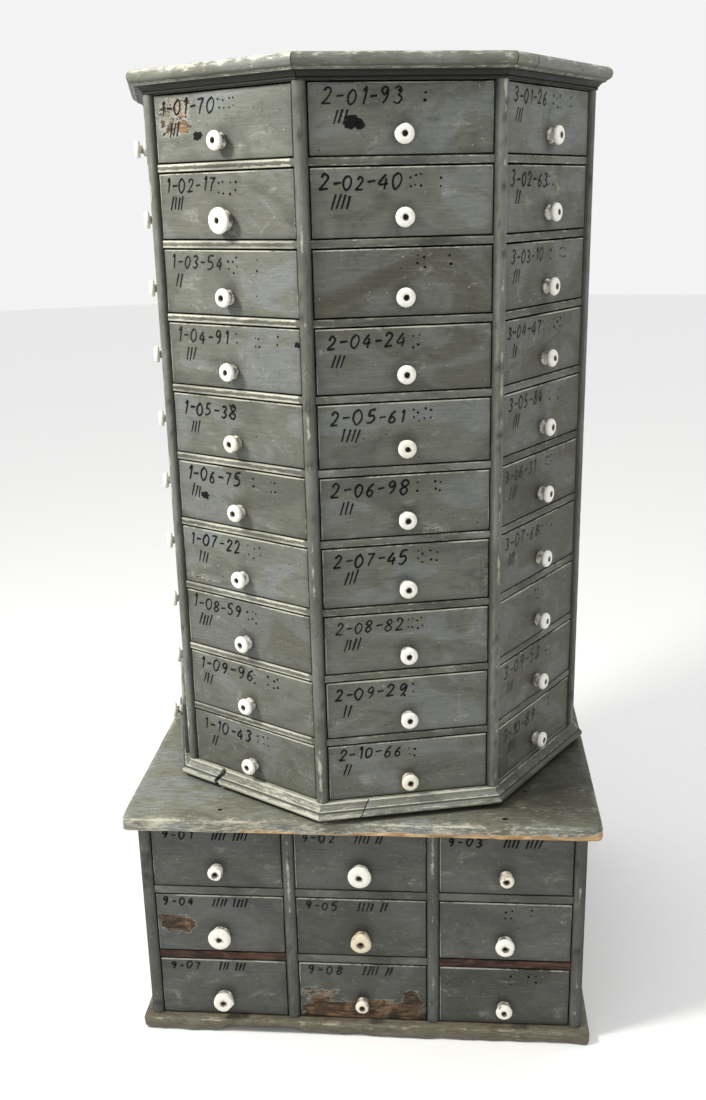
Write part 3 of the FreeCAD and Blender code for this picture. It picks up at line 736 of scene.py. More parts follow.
# Each chip is (angle, half width, share of the radius lost), in degrees.
KNOB_CHIPS = {
    "row1_col1": [(-20, 50, 0.30), (60, 46, 0.2), (-110, 36, 0.25)],
    "row1_col3": [(120, 80, 0.45), (205, 60, 0.3)],
    "row2_col1": [(95, 26, 0.14)],
    "row2_col2": [(140, 50, 0.22), (30, 45, 0.16), (-100, 40, 0.14)],
    "row2_col3": [(-15, 34, 0.22)],
    "row3_col1": [(35, 35, 0.2), (90, 30, 0.15), (-45, 34, 0.3), (170, 40, 0.15)],
    "row3_col2": [(-90, 60, 0.32), (20, 50, 0.25)],
    "row3_col3": [(125, 40, 0.25)],
    "front_01": [(125, 40, 0.22)],
    "front_02": [(-55, 16, 0.12)],
    "left_04": [(50, 30, 0.16)],
    "left_05": [(-60, 30, 0.2)],
    "right_08": [(-40, 45, 0.3)],
    "right_10": [(-70, 35, 0.3)],
}
YELLOWED = {
    "row2_col2": 0.9, "front_10": 0.5, "left_05": 0.5, "front_05": 0.35, "row3_col2": 0.5, "row1_col3": 0.5,
}
# Each bare patch is (x, height above the board's foot, half width, half height) in
# millimetres, and its strength. Each blot is (x, height, radius) in millimetres.
PATCHES = {
    "left_01": [(-74, 52, 32, 26, 0.45), (-60, 38, 22, 8, 0.56), (-82, 32, 16, 6, 0.5),
                (-54, 60, 14, 10, 0.47)],
    "row2_col1": [(-60, 42, 26, 15, 0.7)],
    "row3_col2": [(0, 8, 112, 25, 0.68), (-60, 38, 30, 12, 0.47), (66, 32, 14, 16, 0.58)],
    "front_07": [(98, 30, 6, 22, 0.42)],
    "left_07": [(-70, 8, 40, 5, 0.42)],
    "front_06": [(30, 4, 24, 6, 0.38)],
}
BLOTS = {
    "left_01": [(-36, 27, 6)],
    "front_01": [(-56, 34, 8), (-47, 31, 5)],
    "left_04": [(99, 57, 3.5)],
    "left_06": [(-59, 34, 5.5)],
}
BLANK = {"front_03", "right_08", "row2_col3", "row3_col3"}
# Each front's paint tone from 0 to 1. The right-hand face's are low and fall from the top down, a painted
# shade.
TONES = {
    "front_01": 0.5, "front_02": 0.55, "front_03": 0.0, "front_04": 0.1, "front_05": 0.6, "left_01": 1.0,
    "left_02": 0.6, "left_03": 0.8, "left_05": 0.65, "left_06": 0.5, "left_07": 0.9, "left_08": 0.2,
    "left_09": 0.75, "left_10": 0.45, "right_01": 0.75, "right_02": 0.5, "right_03": 0.35, "right_06": 0.0,
    "right_10": 0.0, "row3_col3": 0.0, "row2_col3": 0.8,
}
BASE_TALLIES = ("|||| ||", "||| |||", "|||| ||||")


def knob_profile(radius):
    """The spool-shaped knob of the frame: flange, waist, head and screw recess."""
    radius /= MM
    flange, waist, shoulder = (radius * share / 11 for share in (8, 4.8, 9.2))
    profile = [(2, 0), *arc((flange, 0), (flange + 0.9, 2.1), (flange, 4.2), 5)]
    profile += arc((flange, 4.2), (waist, 6.6), (shoulder, 9), 6)[1:]
    profile += arc((shoulder, 9), (radius, 12.2), (shoulder, 15.2), 7)[1:]
    profile += [(shoulder - 1.2, 15.8), (shoulder - 3, 16), (4.2, 16)]
    profile += [(3.1, 15.6), (2.9, 14.6), (2.9, 11), (2, 11)]
    return in_metres(profile)


def add_knob(knobs, screws, place, radius, name, count=32):
    """One porcelain knob and the screw head down in its recess."""
    knobs.new_board(YELLOWED.get(name, knobs.random.uniform(0.0, 0.16)))
    screws.new_board()
    chips = KNOB_CHIPS.get(name, ())
    soiled = (8 if len(chips) > 2 else 6.4 if "row" in name else 5.2) * MM

    # Soiled round the screw recess on the face; the flange and waist under the head are darkened as painted
    # shade.
    def dirt_and_shade(r, h):
        return ramp(r, soiled, 3.4 * MM) * (h > 10 * MM) + 0.72 * (h < 8.5 * MM)

    lathe(knobs, knob_profile(radius), count, place, chips, dirt_and_shade=dirt_and_shade)
    dome = in_metres([(0.05, 0), (2.7, 0), (2.7, 0.5), (2.2, 1.2), (1.2, 1.55), (0.05, 1.6)])
    lathe(screws, dome, 12, place - Vector((0, SCREW_HEAD_DEPTH, 0)), wobble=0.03)


def patchy(p, patches, z0, seed):
    """How bare the paint is at a place, in squarish patches with uneven sides."""
    bare = 0.0
    for x, up, wide, tall, strength in patches:
        away = (((p.x / MM - x) / wide) ** 4 + (((p.z - z0) / MM - up) / tall) ** 4) ** 0.25
        away += 0.45 * wander((p.x, 0, 3 * p.z), 45, seed)
        bare = max(bare, strength * clamp(2.4 - 2 * away))
    return bare


def front_board(piece, size, knob, thickness, step, patches):
    """A drawer's front: worn pale along its edges, most of all above and on the left, where the
    pale edges are worn and also painted highlights; a painted shadow round its knob,
    darker towards its foot and sides, painted shade on its sides and back that face the
    gaps, and bare where patches say."""
    half, front, z0, z1, seed = size.half, size.front, size.foot, size.hi.z, piece.seed

    def mark(p, edge):
        left, right, up = (p.x + half) / MM, (half - p.x) / MM, (p.z - z0) / MM
        inside = clamp((p.y - front) / thickness)
        # The top and left edges are palest: worn, and painted highlights where the light falls.
        upper = ramp((z1 - p.z) / MM, 2.4, 1) * (0.9 + 0.7 * wander(p, 16, seed))
        first = ramp(left, 2.4, 1) * (0.75 + 0.8 * wander(p, 19, -seed))
        last = ramp(right, 2.4, 1) * (0.45 + 0.9 * wander(p, 15, -seed))
        # A painted shadow round the knob, centred 1 mm below it.
        knob_shadow = 0.5 * ramp(math.hypot(p.x - knob.x, p.z - knob.z - 1 * MM) / MM, 19, 9)
        # Darker towards the foot and the sides.
        foot = 0.35 * ramp(up, 8, 0) + 0.25 * ramp(min(left, right), 8, 0)
        bare = patchy(p, patches, z0, seed)
        # Bare patches are soiled in places, and the board's sides and back are near black as painted shade in
        # the gaps.
        soot_and_shade = 1.1 * bare * ramp(wander(p, 38, seed), -0.1, 0.35) + 0.98 * ramp(inside, 0.06, 0.2)
        wear = max(0.4 * edge, upper, first, last) * (1 - inside)
        return (wear, max(bare, 0.9 * (inside > 0.95)), min(1.0, knob_shadow + foot + soot_and_shade))

    board(piece, (-half, front, z0), (half, front + thickness, z1), 1 * MM, step, worn_shape(seed), mark,
          worn=3 * MM)


def nail_holes(piece, half, z1, y):
    """Holes in pairs near the top edge, where label frames were nailed on, and stray ones, drawn as
    near-black discs of painted shade.
    """
    rnd = piece.random
    x = rnd.uniform(-0.10, 0.15) * half
    for _ in range(rnd.randint(2, 4)):
        top = z1 - rnd.uniform(8, 13) * MM
        for drop in (0.0, rnd.uniform(8, 13) * MM):
            disc(piece, x + rnd.uniform(-1, 1) * MM, y, top - drop, rnd.uniform(1.0, 1.8) * MM, 8, PIERCED)
        x += rnd.choice((6, 9, 26)) * rnd.uniform(0.8, 1.2) * MM
    for _ in range(rnd.randint(1, 4)):
        x, z = rnd.uniform(-0.9, 0.9) * half, z1 - rnd.uniform(0.1, 0.9) * OPENING
        disc(piece, x, y, z, rnd.uniform(0.5, 1.1) * MM, 6, PIERCED)


def bay_half(depth):
    """Half the width of a turret bay at a depth behind its face."""
    return APOTHEM * TAN_HALF - STILE_HALF - max(0.0, depth - POST_DEPTH) * TAN_HALF


def drawer_box(piece, size, of_base):
    """Bottom, sides and back, unpainted; a turret drawer narrows towards its back."""
    if of_base:
        front, thickness, wall = BASE_FRONT_BOARD, BASE_WALL, BASE_WALL
        a = b = size.half
        c = a - wall
    else:
        front, thickness, wall = TURRET_FRONT, TURRET_WALL, TURRET_WALL / COS_HALF
        clear = 1.2 * MM / COS_HALF
        a, b = (bay_half(depth) - clear for depth in (front, size.depth))
        c = bay_half(size.depth - thickness) - clear - wall
    y0, y2 = size.front + front, size.front + size.depth
    y1 = y2 - thickness
    floor, top = size.lo.z + DRAWER_BOTTOM, size.hi.z - WALL_DROP
    for outline, low_end, high_end, along in (
        ([(-a, y0), (a, y0), (b, y2), (-b, y2)], size.lo.z, floor, 0),
        ([(-a, y0), (-b, y2), (wall - b, y2), (wall - a, y0)], floor, top, 1),
        ([(a, y0), (b, y2), (b - wall, y2), (a - wall, y0)], floor, top, 1),
        ([(-c, y1), (c, y1), (b - wall, y2), (wall - b, y2)], floor, top, 0),
    ):
        piece.new_board(0.5)
        slab(piece, outline, low_end, high_end, slot=WOODEN, along=along)


class Measured:
    """A drawer node's sizes, read from its mesh once it is turned to face -Y."""

    def __init__(self, node, turn):
        back = turned(-turn)
        points = [back @ v.co for v in frame["nodes"][node].data.vertices]
        self.front = min(p.y for p in points) + KNOB_PROJECTION
        body = [p for p in points if p.y > self.front - 0.01 * MM]
        proud = [p for p in points if p.y < self.front - 8 * MM]
        self.lo = Vector([min(p[a] for p in body) for a in range(3)])
        self.hi = Vector([max(p[a] for p in body) for a in range(3)])
        self.foot = min(p.z for p in body if p.y < self.front + 0.01 * MM)
        x, z = [(min(p[a] for p in proud), max(p[a] for p in proud)) for a in (0, 2)]
        self.radius = (x[1] - x[0]) / 2
        self.knob = Vector((sum(x) / 2, self.front, sum(z) / 2))
        self.shift = (self.lo.x + self.hi.x) / 2
        self.half = (self.hi.x - self.lo.x) / 2
        self.depth = self.hi.y - self.front


def turret_number(face, row):
    """A plain stock number for a drawer of the turret."""
    return f"{face}-{row:02d}-{10 + (37 * row + 23 * face) % 90}"


def drawer_face(piece, name, figures, size, knob, thickness, step):
    """The painted front with its number, nail holes and blots, in the drawer's own frame."""
    rnd = piece.random
    of_base, of_right, blank = "row" in name, "right" in name, name in BLANK
    # The right-hand face's fronts get darker paint as painted shade.
    tone = rnd.uniform(0.0, 0.18) if of_right else rnd.uniform(0.34, 0.68)
    piece.new_board(TONES.get(name, tone))
    front_board(piece, size, knob, thickness, step, PATCHES.get(name, ()))
    y = size.front - SURFACE_LIFT
    piece.tone = rnd.uniform(0.4, 0.8) if of_right else rnd.uniform(0.0, 0.6)
    height = (11.5 if of_base else 15.5) * rnd.uniform(0.92, 1.08) * MM
    drop = rnd.uniform(3, 5) * MM if of_base else rnd.uniform(5, 9) * MM
    x, z = -size.half + rnd.uniform(8, 15) * MM, size.hi.z - drop - height
    if of_base and not blank:
        paint_number(piece, f"{figures}   {rnd.choice(BASE_TALLIES)}", x, z, y, height, 1.25)
    elif not blank:
        paint_number(piece, figures, x, z, y, height, 1.05)
        z -= rnd.uniform(19, 23) * MM
        tally = "|" * rnd.randint(2, 4)
        paint_number(piece, tally, x + rnd.uniform(4, 14) * MM, z, y, 14 * MM, 1.1)
    if blank or not of_base:
        nail_holes(piece, size.half, size.hi.z, y)
    piece.tone = 0.25
    for bx, up, radius in BLOTS.get(name, ()):
        piece.seed = rnd.uniform(-50, 50)
        blot(piece, bx * MM, y, size.foot + up * MM, radius * MM)


def build_drawers(piece, knobs, screws, body, skin, node):
    piece.build(body, [skin, inside_wood, lettering, hole], (node,), 40)
    knobs.build(body, [glazed], sharp=60, slot="porcelain")
    screws.build(body, [screw_steel], slot="steel")


def moving_drawer(body, figures):
    """One drawer that slides, in place of its CAD node, with its knob and screw."""
    name = body.removeprefix("drawer_")
    of_base = name.startswith("row")
    node = ("base_" if of_base else "turret_") + body
    turn = facing(body)
    size = Measured(node, turn)
    piece, knobs, screws = Piece(body), Piece(body + "_knob"), Piece(body + "_knob_screw")
    knobs.place = screws.place = turned(turn)
    aside = Vector((size.shift, 0, 0))
    piece.place = turned(turn) @ Matrix.Translation(aside)
    thickness = BASE_FRONT_BOARD if of_base else TURRET_FRONT
    drawer_face(piece, name, figures, size, size.knob - aside, thickness, 5 * MM)
    drawer_box(piece, size, of_base)
    add_knob(knobs, screws, size.knob, size.radius, name)
    build_drawers(piece, knobs, screws, body, base_paint if of_base else paint, node)


def rear_drawers():
    """The drawers of the five rear faces, which the frame holds as one node."""
    node = "turret_rear_drawers"
    vertices = frame["nodes"][node].data.vertices
    size = Measured("turret_drawer_front_01", TURN)
    piece, knobs, screws = Piece("rear_drawers"), Piece("rear_drawer_knobs"), Piece("rear_drawer_knob_screws")
    for face in range(2, 7):
        turn = face_turn(face)
        back = turn.inverted()
        ahead = [p for p in (back @ v.co for v in vertices) if abs(p.x) < size.radius]
        for row in range(ROWS):
            sunk = -row * PITCH
            proud = min(p.y for p in ahead if abs(p.z - size.knob.z - sunk) < size.radius)
            place = turn @ Matrix.Translation((0, proud + KNOB_PROJECTION - size.front, sunk))
            piece.place = knobs.place = screws.place = place
            name = f"rear_{face}_{row}"
            drawer_face(piece, name, turret_number(face + 2, row + 1), size, size.knob, TURRET_FRONT, 9 * MM)
            drawer_box(piece, size, False)
            add_knob(knobs, screws, size.knob, size.radius, name, 20)
    build_drawers(piece, knobs, screws, "turret", paint, node)


# ---- turret case ----

# How pale the foot moulding is worn and the tone of its paint, for a face: the left-hand faces are paler as a
# painted highlight, and the right-hand one darker as painted shade.
FOOT_LIGHT_AND_SHADE = {-1: (0.95, 1.0), 0: (0.75, 0.95), 1: (0.35, 0.1)}
# Where a face's moulding has cracked through: (share of the width, slant, width of the crack).
FOOT_BREAKS = {-1: [(-0.475, 1.4, 0.06)], 0: [(-0.56, 5.0, 0.014)]}
CORNICE_BREAKS = {1: [(-0.62, 1.5, 0.012)]}


def foot_profile():
    foot = (FOOT_LOW - TURRET_FLOOR) / MM
    profile = [(0, foot), (0, 0), (4.6, 0), (5.4, -0.8)]
    profile += arc((5.5, -1.6), (7.6, -5.6), (11.5, -8.2), 5)
    profile += [(12.8, -8.5), *arc((13.4, -9.4), (17, -14), (14.5, foot + 0.4), 7), (13.6, foot)]
    return in_metres(profile, TURRET_FLOOR)


def bed_profile():
    top = (ROOF_UNDERSIDE - CEILING) / MM
    profile = [(0, top), (0, 0), *arc((4.8, 0), (6.8, 1.5), (6, 3), 4), (7.4, 3.5)]
    profile += [*arc((7.6, 4), (10.5, 7.3), (15.3, 9), 5), (15.8, 9.4), (15.8, 10.4)]
    return in_metres(profile + [(18.2, top - 0.4), (18.2, top)], CEILING)


def edge_profile():
    radius, centre, inset = 7.9, 15.3, ROOF_INSET / MM
    foot = (ROOF_UNDERSIDE - ROOF_TOP) / MM
    heel = centre + math.sqrt(radius**2 - (radius + foot) ** 2)
    nose = arc((heel, foot + 0.4), (centre + radius, -radius), (centre, 0), 10)
    return in_metres([(-inset, 0), (-inset, foot), (heel - 1, foot), *nose], ROOF_TOP)


def nosing_marks(p, side):
    """Paint flaked pale on the cornice's nose, most of all high up on the left-hand faces, where the paleness
    is also a painted highlight; the nose's lowest part is darkened as painted shade.
    """
    if -p.y < APOTHEM:
        return (0.2 + 0.2 * wander(p, 9, side), 0.0, 0.1)
    # More flaking on the left-hand faces, partly a painted highlight.
    much, least = (0.45, 0.36) if side == -1 else (0.26, 0.34)
    upper = ramp((ROOF_TOP - p.z) / MM, 10, 2)
    streaks = 0.35 * wander((9 * p.x, p.y, p.z), 60, side)
    flaked = clamp(much * upper + 0.5 * bumps(p, 13, side) + least + streaks)
    bare = 0.3 * upper * bumps(p, 24, 5 + side)
    # The nose's lowest 3 mm is darkened as painted shade.
    return (flaked, bare, 0.5 * ramp((p.z - ROOF_UNDERSIDE) / MM, 3, 0.5))


def bed_marks(p, _side):
    """Painted shade in the cove, under a fillet worn pale as a painted highlight."""
    fillet = -p.y - APOTHEM > 15.5 * MM
    return (0.6 * fillet, 0.0, 0.0 if fillet else 1.3)


def foot_marks(p, side):
    """Ridges and the nose worn pale, paler on the lit faces as painted highlights, with painted shade in the
    groove above the nose and along the moulding's foot.
    """
    out, up, down = (-p.y - APOTHEM) / MM, (p.z - FOOT_LOW) / MM, (TURRET_FLOOR - p.z) / MM
    # A painted shade line in the groove above the nose.
    joint = ramp(abs(out - 13.2), 0.9, 0.3) * (up > 8)
    lip = ramp(abs(out - 11.7), 1.2, 0.3) * (up > 8)
    brow = ramp(down, 2.2, 0.8) * (out > 3)
    face_highlight, tone = FOOT_LIGHT_AND_SHADE.get(side, (0.5, 0.4))
    # Ridges worn pale, more on the lit faces as painted highlights.
    rubbed_and_highlight = max((0.35 + face_highlight) * max(brow, lip), face_highlight * ramp(out, 14.2, 16.6), 0.68 * face_highlight)
    rubbed_and_highlight += 0.22 * wander(p, 17, side)
    # The lowest 3 mm is darkened as painted shade.
    return (clamp(rubbed_and_highlight * (1 - joint)), 0.0, min(1.0, joint + 0.95 * ramp(up, 3, 0)), tone)


def moulding(name, profile, node, marks, breaks, gap=0.25 * MM):
    """Eight mitred lengths around the turret, some of them cracked through."""
    piece = Piece(name)
    foot = min(z for _, z in profile)
    for side in (0, 1, 2, 3, -4, -3, -2, -1):
        piece.place = face_turn(side)
        shrink = 1 - (gap * piece.random.uniform(0.4, 2.2)) / (APOTHEM * TAN_HALF)
        cuts = [(-shrink, 0.0, 0.0), *breaks.get(side, []), (shrink, 0.0, 0.0)]
        for (start, *first), (end, *last) in zip(cuts, cuts[1:]):
            piece.new_board(0.45 + 0.5 * piece.random.random())

            def at(out, z, t):
                share = start + t * (end - start)
                for (lean, wide), near, sign in ((first, 1 - t, 1), (last, t, -1)):
                    if wide:
                        jag = lean * (z - foot) + 0.35 * wide * wander((out, z, share), 260, piece.seed)
                        share += near**6 * (sign * wide / 2 + jag)
                return (share * (APOTHEM + out) * TAN_HALF, -APOTHEM - out, z)

            run = (end - start) * APOTHEM * TAN_HALF
            sweep(piece, profile, spaced(0, 1, MESH_STEP / run), at, lambda p: marks(p, side), run)
    piece.build("turret", [moulding_paint], (node,), 35)


def beads(name, body, node, material, profile, places, tones, z0, z1, nick):
    """Upright posts or strips with round noses, chafed in patches, with dark nicks, and darkened along their
    sides beside the drawers as painted shade.
    """
    piece = Piece(name)
    half = max(x for x, _ in profile)

    def marks(p):
        nose = max(0.0, 1 - abs(p.x) / (6 * MM))
        chafed = nose * (0.3 + 1.1 * bumps(p, 16, piece.seed) + 0.9 * bumps(p, 75, piece.seed))
        nicks = 0.8 * ramp(wander(p, 95, -piece.seed), 0.35, 0.6)
        # Dark nicks, and painted shade along the sides next to the gaps.
        return (min(1.0, chafed), 0.0, max(nicks, 0.9 * ramp(abs(p.x), 0.72 * half, half)))

    for place in places:
        piece.place = place
        piece.new_board(tones[0] + tones[1] * piece.random.random())
        sweep(piece, profile, spaced(z0, z1, MESH_STEP), lambda x, y, z: (x, y, z), marks, nick=nick)
    piece.build(body, [material], (node,))


def corner_posts():
    side_x = STILE_HALF * COS_HALF
    side_y = -VERTEX_RADIUS + STILE_HALF * SIN_HALF
    back_y = side_y + POST_DEPTH * COS_HALF
    profile = arc((-side_x, side_y), (0, -VERTEX_RADIUS - BEAD_PROJECTION), (side_x, side_y), 12)
    profile += [(DIVIDER / 2, back_y), (-DIVIDER / 2, back_y)]
    beads("corner_posts", "turret", "turret_corner_posts", trim_paint, profile,
          [face_turn(k + 0.5) for k in range(8)], (0.15, 0.6), TURRET_FLOOR, CEILING, 0.9 * MM)


def shelf_boards():
    """The shelf sections between the rows; their front edges show as rails."""
    piece = Piece("shelf_boards")
    post_back = -APOTHEM + POST_DEPTH
    near, far = bay_half(0), bay_half(APOTHEM - SHELF_INNER)
    outline = [(-near, -APOTHEM), (near, -APOTHEM), (near, post_back),
               (far, -SHELF_INNER), (-far, -SHELF_INNER), (-near, post_back)]
    for k in range(8):
        piece.place = face_turn(k)
        for row in range(1, ROWS):
            top = TURRET_FLOOR + row * PITCH
            # The right-hand face's rails get darker paint as painted shade.
            piece.new_board((0.0 if k == 1 else 0.15) + 0.5 * piece.random.random())
            # The left face's rail edges are worn paler as a painted highlight; top and bottom near the front
            # are darkened as painted shade in the gaps.
            slab(piece, outline, top - SHELF, top, MESH_STEP, 0.7 * MM, 3 * MM, rough=0.25 * MM, sides=(0,),
                 worn=1.1 if k == 7 else 0.65, dirt_and_shade=1.1, smudge=0.6)
    piece.build("turret", [moulding_paint], ("turret_shelves",))


def flat_octagon(name, apothem, node, material):
    """A flat board with eight sides, as thick as its node."""
    piece = Piece(name)
    piece.place = face_turn(0)
    piece.new_board(0.6)
    angles = [-math.pi / 2 + (k + 0.5) * FACE_STEP for k in range(8)]
    radius = apothem / COS_HALF
    outline = [(radius * math.cos(a), radius * math.sin(a)) for a in angles]
    slab(piece, outline, low(node), high(node), 20 * MM, rim=3 * MM)
    piece.build("turret", [material], (node,))


# ---- base ----

def base_beads():
    half, back = STILE / 2, BASE_FRONT + BEAD_DEPTH
    profile = arc((-half, BASE_FRONT), (0, BASE_FRONT - BASE_BEAD_PROJECTION), (half, BASE_FRONT), 10)
    profile += [(half, back), (-half, back)]
    places = [Matrix.Translation(((k - BASE_COLUMNS / 2) * (COLUMN + STILE), 0, 0))
              for k in range(BASE_COLUMNS + 1)]
    beads("base_beads", "base", "base_front_beads", base_paint, profile, places, (0.55, 0.3),
          BASE_FLOOR, BASE_CEILING, 0.7 * MM)


def base_rails():
    """Rails under the upper two rows; the outer two of the lower level are worn bare."""
    piece = Piece("base_rails")
    for level in range(BASE_ROWS - 1):
        top = BASE_FLOOR + BASE_OPENING + BASE_RAIL + level * BASE_PITCH
        for column in (-1, 0, 1):
            x = column * (COLUMN + STILE)
            piece.new_board(0.15)
            bare = 0.95 if level == 0 and column else 0.0

            def mark(p, edge):
                return (0.5 * edge, bare * (p.y < BASE_FRONT + 6 * MM), 0.2 + 0.4 * wander(p, 30, bare))

            board(piece, (x - COLUMN / 2, BASE_FRONT, top - BASE_RAIL),
                  (x + COLUMN / 2, high("base_front_rails", 1), top), 0.9 * MM, 7 * MM,
                  worn_shape(piece.seed), mark)
    piece.build("base", [trim_paint], ("base_front_rails",))


def case_panels():
    """The base's two sides and its back."""
    piece = Piece("base_panels")
    front = BASE_FRONT + BEAD_DEPTH
    inner = BASE_HALF - STILE

    def mark(p, edge):
        low_down = ramp(p.z, BASE_FLOOR + 40 * MM, BASE_FLOOR)
        bare = 0.42 * low_down * max(0.0, 0.4 + wander(p, 9, piece.seed))
        return (0.6 * edge, bare, 0.5 * ramp(p.z, BASE_CEILING - 25 * MM, BASE_CEILING) + 0.25 * low_down)

    for x0, x1, y0, along in (
        (-BASE_HALF, -inner, front, 1),
        (inner, BASE_HALF, front, 1),
        (-inner, inner, high("base_partitions", 1), 0),
    ):
        piece.new_board(0.35)
        board(piece, (x0, y0, BASE_FLOOR), (x1, BASE_BACK, BASE_CEILING), 1 * MM, 12 * MM,
              worn_shape(piece.seed, 0.3 * MM), mark, along)
    piece.build("base", [base_paint], ("base_case_panels",))


def top_board():
    """The base's top: a rounded edge, bare along its lower side, and a scuffed surface, paler on the left and
    darker to the right as painted light and shade, with a painted shadow of the turret on its right-hand
    part.
    """
    piece = Piece("base_top")
    piece.new_board(0.4)
    seed = piece.seed
    lo, hi = (Vector(corner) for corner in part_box("base_top_board"))
    middle = (lo.z + hi.z) / 2

    def mark(p, edge):
        left, right, near, far = ((p.x - lo.x) / MM, (hi.x - p.x) / MM, (p.y - lo.y) / MM, (hi.y - p.y) / MM)
        share = left / (left + right)
        front, side = ramp(near, 12, 0), ramp(left, 14, 0)
        below = ramp(p.z, middle + 2.5 * MM, lo.z + 4 * MM)
        strength = 0.34 + 0.32 * ramp(share, 0.44, 0.58) + 0.25 * ramp(abs(share - 0.33), 0.14, 0)
        strength += 0.22 * wander(p, 15, seed)
        corner = 0.62 * ramp(math.hypot(right, near), 30, 0)
        bare = max(front * below * strength * 1.35, corner * ramp(p.z, hi.z, middle))
        bare += 0.30 * ramp(right, 45, 0) * bumps(p, 17, -seed)
        rim = 0.85 * edge * (0.8 + 0.6 * wander(p, 21, seed))
        # The nosing is paler on its left part and left edge, partly a painted highlight.
        nosing = max(front * (0.50 + 0.12 * (share < 0.3)), 0.6 * side)
        nosing += 0.3 * wander((p.x, p.y, 4 * p.z), 24, seed)
        scuffed = (0.65 if p.x > 0.1 else 0.4) * ramp(min(left, right, near, far), 90, 0)
        scuffed *= 0.55 + 0.9 * wander(p, 13, seed)
        # A painted shadow of the turret on the right-hand part, and a tone that darkens to the right as
        # painted shade.
        shaded = ramp(share, 0.68, 0.88) * ramp(near, 8, 60)
        tone = clamp(1 - 0.6 * ramp(share, 0.25, 0.9) + 0.35 * wander((p.x, 2 * p.y, 0), 8, seed))
        wear = clamp(max(rim, scuffed, nosing * max(front, side)))
        return (wear, min(1.0, bare), 0.75 * shaded, tone * (1 - 0.8 * shaded))

    def shape(p, normal, edge):
        worn = 1.6 * ramp(p.y, lo.y + 25 * MM, lo.y) * uneven(p, 22, seed) + 0.7 * edge * bumps(p, 60, seed)
        return p - normal * MM * (0.35 * uneven(p, 9, seed) + worn * (abs(normal.z) < 0.98))

    board(piece, lo, hi, 9 * MM, 6 * MM, shape, mark, worn=13 * MM)
    materials = [board_paint, hole]
    # Three holes in the top, drawn as near-black faces of painted shade.
    for x, y, radius in ((-183, -271, 2.2), (187, -279, 2.6), (217, -207, 1.8)):
        x, y, radius, z = x * MM, y * MM, radius * MM, hi.z + 0.1 * MM
        rim = [(x + 1.5 * radius * math.cos(a), y + radius * math.sin(a), z) for a in circle(8)]
        corners = [piece.add(place, (x, y, a)) for place, a in zip(rim, circle(8))]
        piece.face(corners, materials.index(hole))
    piece.build("base", materials, ("base_top_board",))


def bottom_board():
    """The base's bottom: rounded above, with a ragged foot broken away in places."""
    piece = Piece("base_bottom")
    piece.new_board(0.3)
    seed = piece.seed
    lo, hi = (Vector(corner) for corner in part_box("base_bottom_board"))

    def gone(x):
        """How many millimetres the front's lower edge is worn away, at a place along it."""
        waves = ((3.2, 16), (2.2, 60), (0.8, 190))
        bites = sum(deep * bumps((x, 0, 0), frequency, seed) for deep, frequency in waves)
        return 7 * ramp(abs(x / MM + 140), 56, 49.28) + bites

    def shape(p, normal, edge):
        p = p - normal * MM * (0.3 * uneven(p, 12, seed) + edge * bumps(p, 50, seed))
        front = MM * ramp((p.y - lo.y) / MM, 22, 6)
        worn = gone(p.x)
        p.z = max(lo.z, p.z) + worn * front * max(0.0, 1 - (p.z - lo.z) / (15 * MM))
        crumbled = 2.5 * (0.5 + wander(p, 40, seed)) + 1.6 * worn
        p.y += crumbled * front * max(0.0, 1 - (p.z - lo.z) / (14 * MM))
        return p

    def mark(p, edge):
        low_down = ramp(p.z, lo.z + 9 * MM, lo.z)
        torn = low_down * (gone(p.x) > 3) * (p.y < lo.y + 20 * MM)
        chipped = 0.38 * ramp(p.z, hi.z, lo.z) * bumps(p, 22, seed, -0.2)
        return (0.8 * edge * (0.5 + wander(p, 19, seed)), max(0.7 * torn, chipped), 0.25 * low_down + 0.2)

    board(piece, lo, hi, 6 * MM, 6 * MM, shape, mark, worn=10 * MM)
    piece.build("base", [foot_board_paint], ("base_bottom_board",))


# ---- the cabinet ----

# These nodes stay as the CAD made them.
PLAIN_NODES = {
    "turret_centre_post": hidden_wood, "turret_dividers": hidden_wood, "base_drawer_runners": hidden_wood,
    "base_partitions": hidden_wood, "swivel_lower_plate": plate_steel, "swivel_upper_plate": plate_steel,
    "swivel_ball_ring": plate_steel,
}
for plain_node, material in PLAIN_NODES.items():
    slots = frame["nodes"][plain_node].data.materials
    slots.clear()
    slots.append(material)

for face, side in enumerate(("left", "front", "right"), 1):
    for row in range(1, ROWS + 1):
        moving_drawer(f"drawer_{side}_{row:02d}", turret_number(face, row))
for row in range(1, BASE_ROWS + 1):
    for column in range(1, BASE_COLUMNS + 1):
        moving_drawer(f"drawer_row{row}_col{column}", f"9-{BASE_COLUMNS * (row - 1) + column:02d}")
rear_drawers()
corner_posts()
shelf_boards()
flat_octagon("floor_board", APOTHEM, "turret_floor", trim_paint)
flat_octagon("carcase_top", APOTHEM, "turret_carcase_top", trim_paint)
flat_octagon("roof_board", APOTHEM - ROOF_INSET, "turret_roof_board", moulding_paint)
moulding("foot_moulding", foot_profile(), "turret_foot_moulding", foot_marks, FOOT_BREAKS)
moulding("bed_moulding", bed_profile(), "cornice_bed_moulding", bed_marks, {})
moulding("roof_edge", edge_profile(), "cornice_edge_moulding", nosing_marks, CORNICE_BREAKS, gap=0.5 * MM)
base_beads()
base_rails()
case_panels()
top_board()
bottom_board()

# ---- camera, light and floor ----
CAMERA_PLACE = (0.1162, -1.5872, 1.0934)
CAMERA_YAW = math.radians(5.05)
CAMERA_PITCH = math.radians(-17.0)
CAMERA_ROLL = math.radians(-1.35)
CAMERA_LENS = 37.52
FLOOR_RADIUS = 12.0
WORLD_STRENGTH = 0.90
